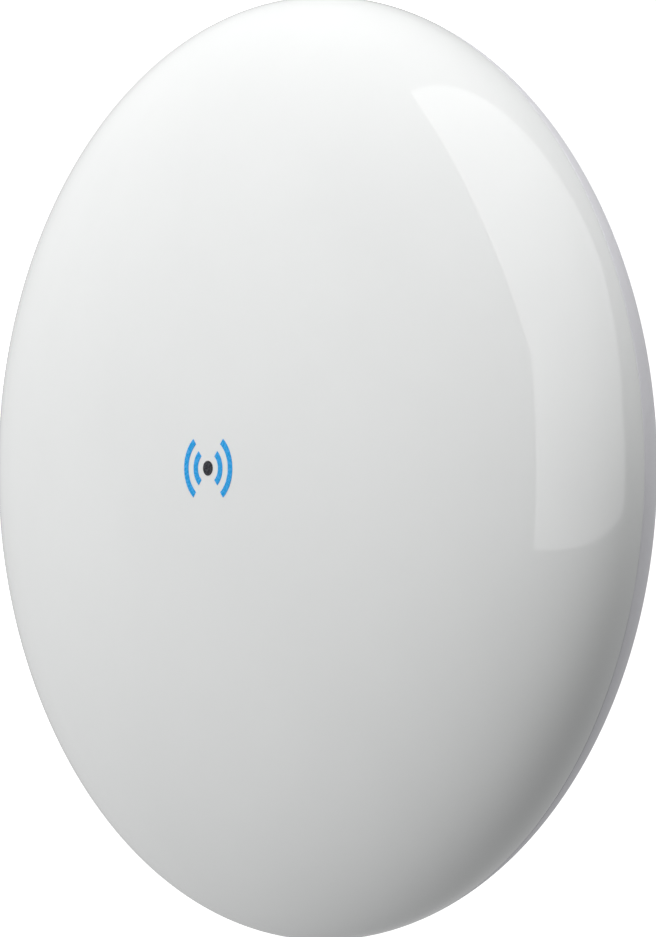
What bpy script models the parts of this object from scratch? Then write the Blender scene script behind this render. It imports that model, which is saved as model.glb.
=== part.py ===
"""Compact outdoor bridge antenna: a round domed radome over a small dish, on a ball-jointed pole bracket.

Metres, +Z up. The dome looks along -Y and the pole stands behind the bracket, along Z. The origin is the
middle of the bracket's pole side, between its two flat lands. Along the antenna's axis, a place is given
as "behind": its distance behind the rim plane, where the body is widest. Run with
blender --background --python part.py, or from Blender's text editor.
"""

import math

import bmesh
import bpy
from mathutils import Matrix

# ---------------------------------------------------------------- driving dimensions
RIM_RADIUS = 0.0945
DOME_HEIGHT = 0.0271
BOWL_DEPTH = 0.0324
SEAM_BEHIND = 0.0026
RADOME_WALL = 0.0022
SHELL_WALL = 0.0022
GAP = 0.0003

TONGUE_LENGTH = 0.0030
TONGUE_WALL = 0.0018
SEAL_GROOVE_DEPTH = 0.0010

BALL_RADIUS = 0.0110
SWIVEL_GAP = 0.0003
LINER_WALL = 0.0010
LINER_REACH = math.radians(68)
CUP_WALL = 0.0018
COLLAR_WALL = 0.0021
BALL_BEHIND_BOSS = 0.0056
COLLAR_FLANGE = 0.0020
COLLAR_FLANGE_WIDTH = 0.0065
GASKET_THICKNESS = 0.0008
COLLAR_SCREWS = 4

NUT_WALL = 0.0042
NUT_LIP = 0.0035
NUT_CHAMFER = 0.0040
NUT_LIP_CLEARANCE = 0.0001
NUT_LIP_FLARE = 0.0024
NUT_FLUTES = 12
NUT_TRAVEL = 0.0020
NUT_MARGIN = 0.0035
THREAD_GAP = 0.0003
CLAMP_RING_AHEAD = 0.0020
CLAMP_RING_LENGTH = 0.0027
STEM_RADIUS = 0.0045
PAN_LIMIT = math.radians(20)
TILT_LIMIT = math.radians(20)
SWING_CLEARANCE = 0.0010

BRACKET_HALF_WIDTH = 0.0170
BRACKET_HALF_HEIGHT = 0.0210
BRACKET_FRONT_WALL = 0.0030
STRAP_SLOT_DEPTH = 0.0050
STRAP_SLOT_HEIGHT = 0.0100
STRAP_SLOT_CENTRE = 0.0130
BRACKET_WEB = 0.0025
VEE_HALF_WIDTH = 0.0135
VEE_FLOOR_HALF_WIDTH = 0.0030
VEE_SLOPE = math.radians(30)
VEE_TEETH = 4
VEE_TOOTH_DEPTH = 0.0006
BRACKET_CHAMFER = 0.0020
STUD_SHANK_RADIUS = 0.0030
STUD_FOOT_RADIUS = 0.0075
STUD_NUT_ACROSS_FLATS = 0.0100
STUD_NUT_HEIGHT = 0.0038
STUD_WASHER_RADIUS = 0.0050
STUD_WASHER_THICKNESS = 0.0008

BOARD_THICKNESS = 0.0016
BOARD_HALF_WIDTH = 0.0200
BOARD_TO_COLLAR = 0.0007
POST_X = 0.0162
POST_RADIUS = 0.0022
POST_CLEARANCE = 0.0012
BOARD_SCREW_HEAD_RADIUS = 0.0020
BOARD_SCREW_RADIUS = 0.0010

REFLECTOR_WALL = 0.0010
REFLECTOR_TO_BOARD = 0.0020
REFLECTOR_RIM_AHEAD = 0.0050
REFLECTOR_FLANGE_CLEARANCE = 0.0020
REFLECTOR_SCREWS = 6
REFLECTOR_SCREW_INSET = 0.0043
REFLECTOR_FLANGE_INSIDE_SCREWS = 0.0033
REFLECTOR_BOSS_RADIUS = 0.0030
REFLECTOR_SCREW_HEAD_RADIUS = 0.0026
REFLECTOR_SCREW_RADIUS = 0.0014

HORN_RADIUS = 0.0110
HORN_WALL = 0.0020
HORN_FLANGE_RADIUS = 0.0125
HORN_LENGTH = 0.0207
HORN_HOLE_CLEARANCE = 0.0005
FEED_WALL = 0.0015
FEED_PLUG_DEPTH = 0.0070
SUB_REFLECTOR_RADIUS = 0.0160
SUB_REFLECTOR_WALL = 0.0016
SUB_REFLECTOR_CROWN = 0.0035
SUB_REFLECTOR_TO_RADOME = 0.0023
PROBE_RADIUS = 0.0008
PROBE_LENGTH = 0.0125

JACK_WIDTH = 0.0160
JACK_HEIGHT = 0.0135
JACK_LENGTH = 0.0180
JACK_MOUTH_WIDTH = 0.0118
JACK_MOUTH_HEIGHT = 0.0070
JACK_MOUTH_DEPTH = 0.0150
JACK_LATCH_WIDTH = 0.0060
JACK_LATCH_HEIGHT = 0.0022
JACK_LIP = 0.0017
JACK_TO_LIGHTS = 0.0030
LIGHTS = 6
LIGHT_SPACING = 0.0050
LIGHT_RADIUS = 0.0012
LIGHTS_TO_POST = 0.0060

POD_HALF_WIDTH = 0.0210
POD_TOP = -0.0080
POD_WALL = 0.0020
POD_ROUNDING = 0.0040
POD_HEADROOM = 0.0006
COVER_LENGTH = 0.0180
COVER_RIDGES = 3
COVER_RIDGE_SPACING = 0.0030
COVER_RIDGE = 0.0008
COVER_RIDGE_WIDTH = 0.0140
POCKET_UNDER_BOARD = 0.0026
POCKET_HALF_WIDTH = 0.0163
GROMMET_HOLE_RADIUS = 0.0046
GROMMET_FLANGE_RADIUS = 0.0052
GROMMET_FLANGE = 0.0009
CABLE_HOLE_RADIUS = 0.0032
GROMMET_CLEARANCE = 0.0006

BUTTON_X = 0.0135
BUTTON_RADIUS = 0.0015
BUTTON_FLANGE_RADIUS = 0.0024
BUTTON_PROUD = 0.0006
BUTTON_TRAVEL = 0.0006
BUTTON_LENGTH = 0.0066

VENT_HEIGHT = 0.0340
VENT_BOSS_RADIUS = 0.0052
VENT_HEAD_RADIUS = 0.0040
VENT_STEM_RADIUS = 0.0019

DISH_STEPS = 44
TURN_STEPS = 24
SCREW_STEPS = 8

# ---------------------------------------------------------------- sizes worked out from them
RADOME_INSIDE = RIM_RADIUS - RADOME_WALL
DOME_INSIDE = DOME_HEIGHT - RADOME_WALL
TONGUE_RADIUS = RADOME_INSIDE * math.sqrt(1 - (TONGUE_LENGTH / DOME_INSIDE) ** 2) - GAP
SEAL_RADIUS = (RADOME_INSIDE - GAP - (TONGUE_RADIUS - SEAL_GROOVE_DEPTH + GAP)) / 2
SEAL_RING_RADIUS = TONGUE_RADIUS - SEAL_GROOVE_DEPTH + GAP + SEAL_RADIUS
SEAL_AHEAD = TONGUE_LENGTH / 4
SHELL_INSIDE = TONGUE_RADIUS - TONGUE_WALL

CUP_RADIUS = BALL_RADIUS + 3 * SWIVEL_GAP + 2 * LINER_WALL
THREAD_RADIUS = CUP_RADIUS + COLLAR_WALL
NUT_RADIUS = THREAD_RADIUS + THREAD_GAP + NUT_WALL
BOSS_RADIUS = NUT_RADIUS + NUT_MARGIN
BOSS_BEHIND = BOWL_DEPTH * math.sqrt(1 - (BOSS_RADIUS / RIM_RADIUS) ** 2)
SEAT_BEHIND = BOSS_BEHIND - SHELL_WALL
GASKET_BEHIND = SEAT_BEHIND - GAP - GASKET_THICKNESS
FLANGE_BEHIND = GASKET_BEHIND - GAP - COLLAR_FLANGE
FLANGE_RADIUS = THREAD_RADIUS + COLLAR_FLANGE_WIDTH
BALL_BEHIND = BOSS_BEHIND + BALL_BEHIND_BOSS
COLLAR_FRONT = BALL_BEHIND - CUP_RADIUS - CUP_WALL
RING_FRONT = BALL_BEHIND + CLAMP_RING_AHEAD
RING_REAR = RING_FRONT + CLAMP_RING_LENGTH
COLLAR_REAR = RING_REAR - GAP
LIP_BEHIND = RING_REAR + GAP
NUT_REAR = LIP_BEHIND + NUT_LIP
NUT_FRONT = BOSS_BEHIND + 2 * GAP

BOARD_REAR = COLLAR_FRONT - BOARD_TO_COLLAR
BOARD_FRONT = BOARD_REAR - BOARD_THICKNESS
REFLECTOR_APEX = BOARD_FRONT - REFLECTOR_TO_BOARD
REFLECTOR_FLANGE_RADIUS = SHELL_INSIDE - REFLECTOR_FLANGE_CLEARANCE
REFLECTOR_SCREW_CIRCLE = REFLECTOR_FLANGE_RADIUS - REFLECTOR_SCREW_INSET
DISH_RADIUS = REFLECTOR_SCREW_CIRCLE - REFLECTOR_FLANGE_INSIDE_SCREWS
FOCAL_LENGTH = DISH_RADIUS**2 / (4 * (REFLECTOR_APEX + REFLECTOR_RIM_AHEAD))
HORN_HOLE_RADIUS = HORN_FLANGE_RADIUS + HORN_HOLE_CLEARANCE
HORN_REAR = BOARD_FRONT - GAP
HORN_MOUTH = HORN_REAR - HORN_LENGTH
SUB_FRONT = -(DOME_INSIDE - SUB_REFLECTOR_TO_RADOME)
SUB_REAR = SUB_FRONT + SUB_REFLECTOR_WALL

WELL_RADIUS = NUT_RADIUS + POD_WALL
WELL_WALL_RADIUS = WELL_RADIUS + POD_WALL
TOP_POST_Z = math.sqrt((FLANGE_RADIUS + POST_RADIUS + POST_CLEARANCE) ** 2 - POST_X**2)
LOW_POST_Z = -math.sqrt((WELL_WALL_RADIUS + POST_RADIUS + POST_CLEARANCE) ** 2 - POST_X**2)
LIGHTS_Z = LOW_POST_Z - LIGHTS_TO_POST
JACK_TOP = LIGHTS_Z - JACK_TO_LIGHTS
SPLIT_Z = JACK_TOP - JACK_LENGTH
POD_BOTTOM = SPLIT_Z - COVER_LENGTH
BOARD_TOP = TOP_POST_Z + POST_RADIUS + GAP
BOARD_BOTTOM = SPLIT_Z + 2 * POD_WALL
JACK_FRONT = BOARD_REAR + GAP
JACK_REAR = JACK_FRONT + JACK_HEIGHT
BOWL_AT_OUTLET = BOWL_DEPTH * math.sqrt(1 - ((POD_BOTTOM + POD_WALL) / RIM_RADIUS) ** 2)
OUTLET_ROOM = 2 * (GROMMET_FLANGE_RADIUS + GROMMET_CLEARANCE)
POD_REAR = max(JACK_REAR + POD_HEADROOM, BOWL_AT_OUTLET + OUTLET_ROOM) + POD_WALL
POCKET_FLOOR = BOARD_REAR - POCKET_UNDER_BOARD
GROMMET_BEHIND = (BOWL_AT_OUTLET + POD_REAR - POD_WALL) / 2
BUTTON_BEHIND = (JACK_FRONT + JACK_REAR) / 2

SWING = math.acos(math.cos(PAN_LIMIT) * math.cos(TILT_LIMIT))
NUT_REACH = NUT_REAR - BALL_BEHIND + NUT_TRAVEL
NUT_SWEEP = max(
    NUT_REACH * math.cos(SWING) + (NUT_RADIUS - NUT_CHAMFER) * math.sin(SWING),
    (NUT_REACH - NUT_CHAMFER) * math.cos(SWING) + NUT_RADIUS * math.sin(SWING),
)
BRACKET_FRONT = BALL_BEHIND + NUT_SWEEP + SWING_CLEARANCE
SLOT_FRONT = BRACKET_FRONT + BRACKET_FRONT_WALL
SLOT_REAR = SLOT_FRONT + STRAP_SLOT_DEPTH
VEE_FLOOR = SLOT_REAR + BRACKET_WEB
BRACKET_REAR = VEE_FLOOR + (VEE_HALF_WIDTH - VEE_FLOOR_HALF_WIDTH) * math.tan(VEE_SLOPE)
NUT_POCKET_FLOOR = VEE_FLOOR - STUD_NUT_HEIGHT - STUD_WASHER_THICKNESS - 3 * GAP

# ---------------------------------------------------------------- finishes: colour, roughness, metallic
FINISHES = {
    "gloss_white_plastic": ((0.86, 0.87, 0.87), 0.12, 0.0),
    "satin_white_plastic": ((0.80, 0.81, 0.81), 0.38, 0.0),
    "grey_plastic": ((0.32, 0.33, 0.34), 0.50, 0.0),
    "black_rubber": ((0.03, 0.03, 0.03), 0.80, 0.0),
    "spun_aluminium": ((0.78, 0.79, 0.80), 0.30, 1.0),
    "zinc_steel": ((0.66, 0.67, 0.69), 0.28, 1.0),
    "brass": ((0.75, 0.58, 0.28), 0.30, 1.0),
    "tinplate": ((0.72, 0.73, 0.74), 0.35, 1.0),
    "green_board": ((0.03, 0.16, 0.08), 0.45, 0.0),
    "black_component": ((0.05, 0.05, 0.055), 0.55, 0.0),
    "cream_dielectric": ((0.78, 0.76, 0.68), 0.45, 0.0),
    "clear_light_pipe": ((0.75, 0.85, 0.92), 0.10, 0.0),
}


# ---------------------------------------------------------------- scene helpers
def clear_scene():
    for old in list(bpy.data.objects):
        bpy.data.objects.remove(old)


def new_collection(name):
    made = bpy.data.collections.new(name)
    bpy.context.scene.collection.children.link(made)
    return made


def make_finishes():
    for name, (colour, roughness, metallic) in FINISHES.items():
        material = bpy.data.materials.new(name)
        material.use_nodes = True
        shader = material.node_tree.nodes["Principled BSDF"]
        shader.inputs["Base Color"].default_value = (*colour, 1)
        shader.inputs["Roughness"].default_value = roughness
        shader.inputs["Metallic"].default_value = metallic


def from_rim(behind):
    """The world Y of a place this far behind the rim plane."""
    return behind - BRACKET_REAR


def place(obj, finish=None, at=(0, 0, 0)):
    """Links an object as a part, or as a cutter where it has no finish, and puts it in place."""
    obj.location = at
    if finish is None:
        CUTTERS.objects.link(obj)
        obj.hide_render = True
        obj.display_type = "WIRE"
        return obj
    PARTS.objects.link(obj)
    obj.data.materials.clear()
    obj.data.materials.append(bpy.data.materials[finish])
    return obj


def smooth_mesh(mesh, angle=35):
    mesh.shade_smooth()
    mesh.set_sharp_from_angle(angle=math.radians(angle))


# ---------------------------------------------------------------- shape helpers
def turned(name, outline, finish=None, at=None, steps=TURN_STEPS, loop=False, along="Y"):
    """A turned piece. The outline is (radius, distance along the axis) and runs down its outer side."""
    mesh = bpy.data.meshes.new(name)
    last = len(outline) - 1
    edges = [(i, i + 1) for i in range(last)] + ([(last, 0)] if loop else [])
    mesh.from_pydata([(radius, 0, along_axis) for radius, along_axis in outline], edges, [])
    obj = bpy.data.objects.new(name, mesh)
    place(obj, finish, (0, from_rim(0), 0) if at is None else at)
    if along == "Y":
        obj.rotation_euler = (math.radians(-90), 0, 0)
    screw = obj.modifiers.new("turn", "SCREW")
    screw.steps = screw.render_steps = steps
    screw.use_merge_vertices = True
    screw.merge_threshold = 0.00001
    return obj


def box(name, low, high, finish=None, rounding=0.0, segments=3):
    """A box between two corners, given as (x, behind, z)."""
    sizes = [b - a for a, b in zip(low, high)]
    centre = [(a + b) / 2 for a, b in zip(low, high)]
    bm = bmesh.new()
    bmesh.ops.create_cube(bm, size=1)
    bmesh.ops.scale(bm, vec=sizes, verts=bm.verts)
    mesh = bpy.data.meshes.new(name)
    bm.to_mesh(mesh)
    bm.free()
    obj = bpy.data.objects.new(name, mesh)
    place(obj, finish, (centre[0], from_rim(centre[1]), centre[2]))
    if rounding:
        bevel = obj.modifiers.new("round", "BEVEL")
        bevel.width = rounding
        bevel.segments = segments
    return obj


def rod_mesh(name, rods, along="Y", steps=TURN_STEPS):
    """One mesh of straight rods: each is (radius, length, (x, y, z) of its middle), in the object's space."""
    bm = bmesh.new()
    turn = Matrix.Rotation(math.radians(90), 4, "X") if along == "Y" else Matrix()
    for radius, length, middle in rods:
        bmesh.ops.create_cone(
            bm,
            cap_ends=True,
            segments=steps,
            radius1=radius,
            radius2=radius,
            depth=length,
            matrix=Matrix.Translation(middle) @ turn,
        )
    mesh = bpy.data.meshes.new(name)
    bm.to_mesh(mesh)
    bm.free()
    return mesh


def rods(name, places, radius, front, rear, finish=None, steps=SCREW_STEPS):
    """Equal rods along Y between two distances behind the rim, at each (x, z)."""
    middle = from_rim((front + rear) / 2)
    made = [(radius, rear - front, (x, middle, z)) for x, z in places]
    return place(bpy.data.objects.new(name, rod_mesh(name, made, steps=steps)), finish)


def upright_rod(name, x, behind, radius, low, high, finish=None, steps=TURN_STEPS):
    mesh = rod_mesh(name, [(radius, high - low, (0, 0, 0))], along="Z", steps=steps)
    obj = bpy.data.objects.new(name, mesh)
    return place(obj, finish, (x, from_rim(behind), (low + high) / 2))


def plate(name, outline, half_height, finish):
    """A flat outline of (x, behind) points, extruded up and down from Z = 0, as one closed mesh."""
    curve = bpy.data.curves.new(name, "CURVE")
    curve.dimensions = "2D"
    curve.fill_mode = "BOTH"
    curve.extrude = half_height
    spline = curve.splines.new("POLY")
    spline.points.add(len(outline) - 1)
    for point, (x, behind) in zip(spline.points, outline):
        point.co = (x, from_rim(behind), 0, 1)
    spline.use_cyclic_u = True
    drawn = bpy.data.objects.new(name + "_outline", curve)
    bpy.context.scene.collection.objects.link(drawn)
    bpy.context.view_layer.update()
    graph = bpy.context.evaluated_depsgraph_get()
    mesh = bpy.data.meshes.new_from_object(drawn.evaluated_get(graph))
    bpy.data.objects.remove(drawn)
    bm = bmesh.new()
    bm.from_mesh(mesh)
    bmesh.ops.remove_doubles(bm, verts=bm.verts, dist=0.000001)
    bm.to_mesh(mesh)
    bm.free()
    return place(bpy.data.objects.new(name, mesh), finish)


def boolean(obj, other, operation="DIFFERENCE"):
    modifier = obj.modifiers.new(f"{operation.lower()} {other.name}", "BOOLEAN")
    modifier.operation = operation
    modifier.object = other


def cut(obj, *cutters):
    for cutter in cutters:
        boolean(obj, cutter)


def join(obj, *others):
    for other in others:
        boolean(obj, other, "UNION")


def oval(radius, depth, start, end, count):
    """Points (radius, behind) on a quarter oval. The angle is 0 at the rim and 90 degrees on the axis."""
    angles = [math.radians(start + (end - start) * i / count) for i in range(count + 1)]
    return [(max(radius * math.cos(a), 0.0), depth * math.sin(a)) for a in angles]


def ball_arc(radius, start, end, count):
    """Points (radius, distance behind the ball's centre); the angle is measured from the front pole."""
    angles = [start + (end - start) * i / count for i in range(count + 1)]
    return [(abs(radius * math.sin(a)), -radius * math.cos(a)) for a in angles]


def shifted(points, along):
    return [(radius, behind + along) for radius, behind in points]


def on_circle(count, radius, first=0.0):
    turns = [first + 2 * math.pi * i / count for i in range(count)]
    return [(radius * math.cos(a), radius * math.sin(a)) for a in turns]


def screw_outline(head_radius, head_height, radius, length):
    """The turned outline of a pan-head screw: its head sits in front of 0 and its shank runs behind."""
    return [
        (0, length),
        (radius, length),
        (radius, 0),
        (head_radius, 0),
        (head_radius, -0.6 * head_height),
        (0.7 * head_radius, -head_height),
        (0, -head_height),
    ]


def screws(name, places, outline, seat, finish="zinc_steel"):
    """One screw at each (x, z), its head resting just in front of seat."""
    made = []
    for number, (x, z) in enumerate(places, 1):
        at = (x, from_rim(seat - GAP), z)
        made.append(turned(f"{name}_{number}", outline, finish, at, steps=SCREW_STEPS))
    return made


# ---------------------------------------------------------------- enclosure
def make_radome():
    outside = [(RADOME_INSIDE, SEAM_BEHIND)]
    seam_angle = math.degrees(math.asin(SEAM_BEHIND / BOWL_DEPTH))
    outside += oval(RIM_RADIUS, BOWL_DEPTH, seam_angle, 0, 1)
    outside += oval(RIM_RADIUS, -DOME_HEIGHT, 0, 90, 10)[1:]
    inside = oval(RADOME_INSIDE, -DOME_INSIDE, 90, 0, 10)
    return turned("radome", inside + outside, "gloss_white_plastic", steps=DISH_STEPS)


def make_radome_seal():
    section = on_circle(6, SEAL_RADIUS)
    outline = [(SEAL_RING_RADIUS + across, -SEAL_AHEAD - along) for across, along in section]
    return turned("radome_seal", outline, "black_rubber", steps=DISH_STEPS, loop=True)


def bowl_outline(radius, depth, rim_behind):
    """The outer side of the rear bowl, from its flat boss on the axis to its edge."""
    boss = math.degrees(math.acos(BOSS_RADIUS / radius))
    edge = math.degrees(math.asin(rim_behind / depth))
    return [(0, depth * math.sin(math.radians(boss)))] + oval(radius, depth, boss, edge, 8)


def make_bowl():
    """The hollow bowl, with its tongue and seal groove reaching forward inside the radome."""
    groove_rear = -SEAL_AHEAD + SEAL_RADIUS + GAP
    groove_front = -SEAL_AHEAD - SEAL_RADIUS - GAP
    groove_floor = TONGUE_RADIUS - SEAL_GROOVE_DEPTH
    outline = bowl_outline(RIM_RADIUS, BOWL_DEPTH, SEAM_BEHIND + GAP)
    outline += [
        (TONGUE_RADIUS, SEAM_BEHIND + GAP),
        (TONGUE_RADIUS, groove_rear),
        (groove_floor, groove_rear),
        (groove_floor, groove_front),
        (TONGUE_RADIUS, groove_front),
        (TONGUE_RADIUS, -TONGUE_LENGTH),
        (SHELL_INSIDE, -TONGUE_LENGTH),
    ]
    outline += oval(SHELL_INSIDE, BOWL_DEPTH - SHELL_WALL, 0, 90, 7)
    return turned("rear_shell", outline, "satin_white_plastic", steps=DISH_STEPS)


def bowl_core():
    """A solid that ends halfway through the bowl's wall, to hollow what is joined to the bowl."""
    half_wall = SHELL_WALL / 2
    outline = oval(RIM_RADIUS - half_wall, BOWL_DEPTH - half_wall, 90, 0, 9)
    outline += [(RIM_RADIUS - half_wall, -2 * TONGUE_LENGTH), (0, -2 * TONGUE_LENGTH)]
    return turned("bowl_core", outline, steps=DISH_STEPS)


def pod_block(name, finish=None):
    """The rounded block behind the bowl that the fixed pod and its sliding cover are both cut from."""
    low = (-POD_HALF_WIDTH, REFLECTOR_APEX, POD_BOTTOM)
    high = (POD_HALF_WIDTH, POD_REAR, POD_TOP)
    return box(name, low, high, finish, rounding=POD_ROUNDING)


def fixed_pod():
    pod = pod_block("pod_outside")
    wide = 2 * POD_HALF_WIDTH
    below = box("below_split", (-wide, 0, 2 * POD_BOTTOM), (wide, wide * 2, SPLIT_Z))
    floor = BOSS_BEHIND - GAP
    well = rods("nut_well", [(0, 0)], WELL_RADIUS, floor, 2 * POD_REAR, steps=50)
    cut(pod, below, well, bowl_core())
    return pod


def pod_cavity():
    inner = POD_HALF_WIDTH - POD_WALL
    low = (-inner, REFLECTOR_APEX - POD_WALL, SPLIT_Z + POD_WALL)
    high = (inner, POD_REAR - POD_WALL, POD_TOP - 2 * POD_ROUNDING)
    cavity = box("pod_cavity", low, high)
    floor = SEAT_BEHIND + GAP
    wall = rods("well_wall", [(0, 0)], WELL_WALL_RADIUS, floor, 2 * POD_REAR, steps=DISH_STEPS)
    cut(cavity, wall)
    return cavity


def pocket_block():
    """The walls of the cable pocket that runs into the bowl below the pod."""
    half = POCKET_HALF_WIDTH + POD_WALL
    low = (-half, POCKET_FLOOR - POD_WALL, POD_BOTTOM)
    rear = BOWL_DEPTH * math.sqrt(1 - (math.hypot(half, POD_BOTTOM) / RIM_RADIUS) ** 2) - GAP
    return box("pocket_block", low, (half, rear, SPLIT_Z + POD_WALL / 2))


def pocket_cut():
    half = POCKET_HALF_WIDTH
    low = (-half, POCKET_FLOOR, POD_BOTTOM + POD_WALL)
    return box("pocket_cut", low, (half, POD_REAR - POD_WALL, SPLIT_Z + GAP))


def board_posts():
    """Places (x, z) of the four screw posts that carry the board: two high, two low."""
    return [(side * POST_X, z) for z in (TOP_POST_Z, LOW_POST_Z) for side in (-1, 1)]


def light_places():
    return [((i - (LIGHTS - 1) / 2) * LIGHT_SPACING, LIGHTS_Z) for i in range(LIGHTS)]


def collar_screw_places():
    circle = THREAD_RADIUS + COLLAR_FLANGE_WIDTH / 2
    return on_circle(COLLAR_SCREWS, circle, math.radians(45))


def reflector_screw_places():
    return on_circle(REFLECTOR_SCREWS, REFLECTOR_SCREW_CIRCLE, math.radians(30))


def make_rear_shell():
    shell = make_bowl()
    places = board_posts()
    top = TOP_POST_Z
    bowl_at_top = BOWL_DEPTH * math.sqrt(1 - (math.hypot(POST_X, top) / RIM_RADIUS) ** 2)
    bowl_at_screws = BOWL_DEPTH * math.sqrt(1 - (REFLECTOR_SCREW_CIRCLE / RIM_RADIUS) ** 2)
    flange_rear = -REFLECTOR_RIM_AHEAD + REFLECTOR_WALL
    half_jack = JACK_WIDTH / 2 + GAP
    seat = BOSS_RADIUS + POD_WALL + GAP
    join(shell, fixed_pod())
    cut(shell, pod_cavity())
    join(
        shell,
        pocket_block(),
        rods("collar_seat", [(0, 0)], seat, SEAT_BEHIND, BOSS_BEHIND - 3 * GAP, steps=DISH_STEPS),
        rods("top_posts", places[:2], POST_RADIUS, BOARD_REAR + GAP, bowl_at_top - 3 * GAP),
        rods("low_posts", places[2:], POST_RADIUS, BOARD_REAR + GAP, POD_REAR - POD_WALL / 2),
        rods(
            "reflector_bosses",
            reflector_screw_places(),
            REFLECTOR_BOSS_RADIUS,
            flange_rear + GAP,
            bowl_at_screws - SHELL_WALL / 2,
        ),
        rods("vent_boss", [(0, VENT_HEIGHT)], VENT_BOSS_RADIUS, SEAT_BEHIND - SHELL_WALL, BOSS_BEHIND),
    )
    cut(
        shell,
        pocket_cut(),
        box(
            "jack_window",
            (-half_jack, JACK_FRONT - GAP, SPLIT_Z - POD_WALL),
            (half_jack, JACK_REAR + GAP, SPLIT_Z + 2 * POD_WALL),
        ),
        upright_rod(
            "button_hole",
            BUTTON_X,
            BUTTON_BEHIND,
            BUTTON_RADIUS + GAP,
            SPLIT_Z - POD_WALL,
            SPLIT_Z + 2 * POD_WALL,
            steps=SCREW_STEPS,
        ),
        rods("light_holes", light_places(), LIGHT_RADIUS + GAP, BOSS_BEHIND, 2 * POD_REAR),
        rods("collar_hole", [(0, 0)], THREAD_RADIUS + GAP, 0, 2 * POD_REAR, steps=TURN_STEPS),
        rods(
            "post_holes",
            places,
            BOARD_SCREW_RADIUS + GAP / 2,
            0,
            bowl_at_top - 2 * SHELL_WALL,
        ),
        rods(
            "collar_screw_holes",
            collar_screw_places(),
            BOARD_SCREW_RADIUS + GAP / 2,
            0,
            BOSS_BEHIND - 2 * GAP,
        ),
        rods(
            "boss_holes",
            reflector_screw_places(),
            REFLECTOR_SCREW_RADIUS + GAP / 2,
            -REFLECTOR_RIM_AHEAD,
            bowl_at_screws - 3 * SHELL_WALL,
        ),
        rods("vent_hole", [(0, VENT_HEIGHT)], VENT_STEM_RADIUS + GAP, 0, 2 * POD_REAR),
    )
    return shell


def make_vent_plug():
    inner = SEAT_BEHIND - 2 * SHELL_WALL
    outline = [
        (0, BOSS_BEHIND + 0.0015),
        (0.75 * VENT_HEAD_RADIUS, BOSS_BEHIND + 0.0015),
        (VENT_HEAD_RADIUS, BOSS_BEHIND + 0.0009),
        (VENT_HEAD_RADIUS, BOSS_BEHIND + GAP),
        (VENT_STEM_RADIUS, BOSS_BEHIND + GAP),
        (VENT_STEM_RADIUS, inner),
        (0, inner),
    ]
    return turned("vent_plug", outline, "grey_plastic", (0, from_rim(0), VENT_HEIGHT), steps=SCREW_STEPS)


# ---------------------------------------------------------------- dish and feed
def make_main_reflector():
    def dish(radius):
        return REFLECTOR_APEX - radius**2 / (4 * FOCAL_LENGTH)

    count = 5
    radii = [HORN_HOLE_RADIUS + (DISH_RADIUS - HORN_HOLE_RADIUS) * i / count for i in range(count + 1)]
    rim = -REFLECTOR_RIM_AHEAD
    outline = [(r, dish(r) + REFLECTOR_WALL) for r in radii]
    outline += [(REFLECTOR_FLANGE_RADIUS, rim + REFLECTOR_WALL), (REFLECTOR_FLANGE_RADIUS, rim)]
    outline += [(r, dish(r)) for r in reversed(radii)]
    reflector = turned("main_reflector", outline, "spun_aluminium", steps=DISH_STEPS, loop=True)
    radius = REFLECTOR_SCREW_RADIUS + GAP
    cut(reflector, rods("reflector_holes", reflector_screw_places(), radius, 3 * rim, -3 * rim))
    return reflector


def make_feed():
    mouth_inside = HORN_RADIUS - HORN_WALL
    horn = [
        (HORN_FLANGE_RADIUS, HORN_REAR),
        (HORN_FLANGE_RADIUS, HORN_REAR - COLLAR_FLANGE / 2),
        (HORN_RADIUS, HORN_REAR - COLLAR_FLANGE / 2),
        (HORN_RADIUS, HORN_MOUTH),
        (mouth_inside, HORN_MOUTH),
        (mouth_inside, HORN_REAR),
    ]
    turned("feed_horn", horn, "brass", loop=True)

    plug = mouth_inside - GAP
    shoulder = HORN_MOUTH - GAP
    rim = SUB_REFLECTOR_RADIUS - FEED_WALL / 2
    cone = [
        (plug, HORN_MOUTH + FEED_PLUG_DEPTH),
        (plug, shoulder),
        (HORN_RADIUS, shoulder),
        (HORN_RADIUS, shoulder - FEED_WALL),
        (rim, SUB_REAR + GAP),
        (rim - FEED_WALL, SUB_REAR + GAP),
        (plug - FEED_WALL + GAP, shoulder - FEED_WALL),
        (plug - FEED_WALL, HORN_MOUTH + FEED_PLUG_DEPTH),
    ]
    turned("feed_support", cone, "cream_dielectric", loop=True)

    crown = rim - 2 * FEED_WALL
    bump = [(crown * i / 5, SUB_REAR + SUB_REFLECTOR_CROWN * (1 - (i / 5) ** 2)) for i in range(6)]
    disc = bump + [
        (SUB_REFLECTOR_RADIUS, SUB_REAR),
        (SUB_REFLECTOR_RADIUS, SUB_FRONT),
        (0, SUB_FRONT),
    ]
    turned("sub_reflector", disc, "spun_aluminium")

    probe = [
        (0, HORN_REAR),
        (3 * PROBE_RADIUS, HORN_REAR),
        (3 * PROBE_RADIUS, HORN_REAR - PROBE_RADIUS),
        (PROBE_RADIUS, HORN_REAR - PROBE_RADIUS),
        (PROBE_RADIUS, HORN_REAR - PROBE_LENGTH),
        (0, HORN_REAR - PROBE_LENGTH),
    ]
    turned("feed_probe", probe, "brass", steps=SCREW_STEPS)


# ---------------------------------------------------------------- electronics
def make_board():
    low = (-BOARD_HALF_WIDTH, BOARD_FRONT, BOARD_BOTTOM)
    board = box("radio_board", low, (BOARD_HALF_WIDTH, BOARD_REAR, BOARD_TOP), "green_board")
    radius = BOARD_SCREW_RADIUS + GAP
    cut(board, rods("board_holes", board_posts(), radius, BOARD_FRONT / 2, 2 * BOARD_REAR))
    return board


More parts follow.
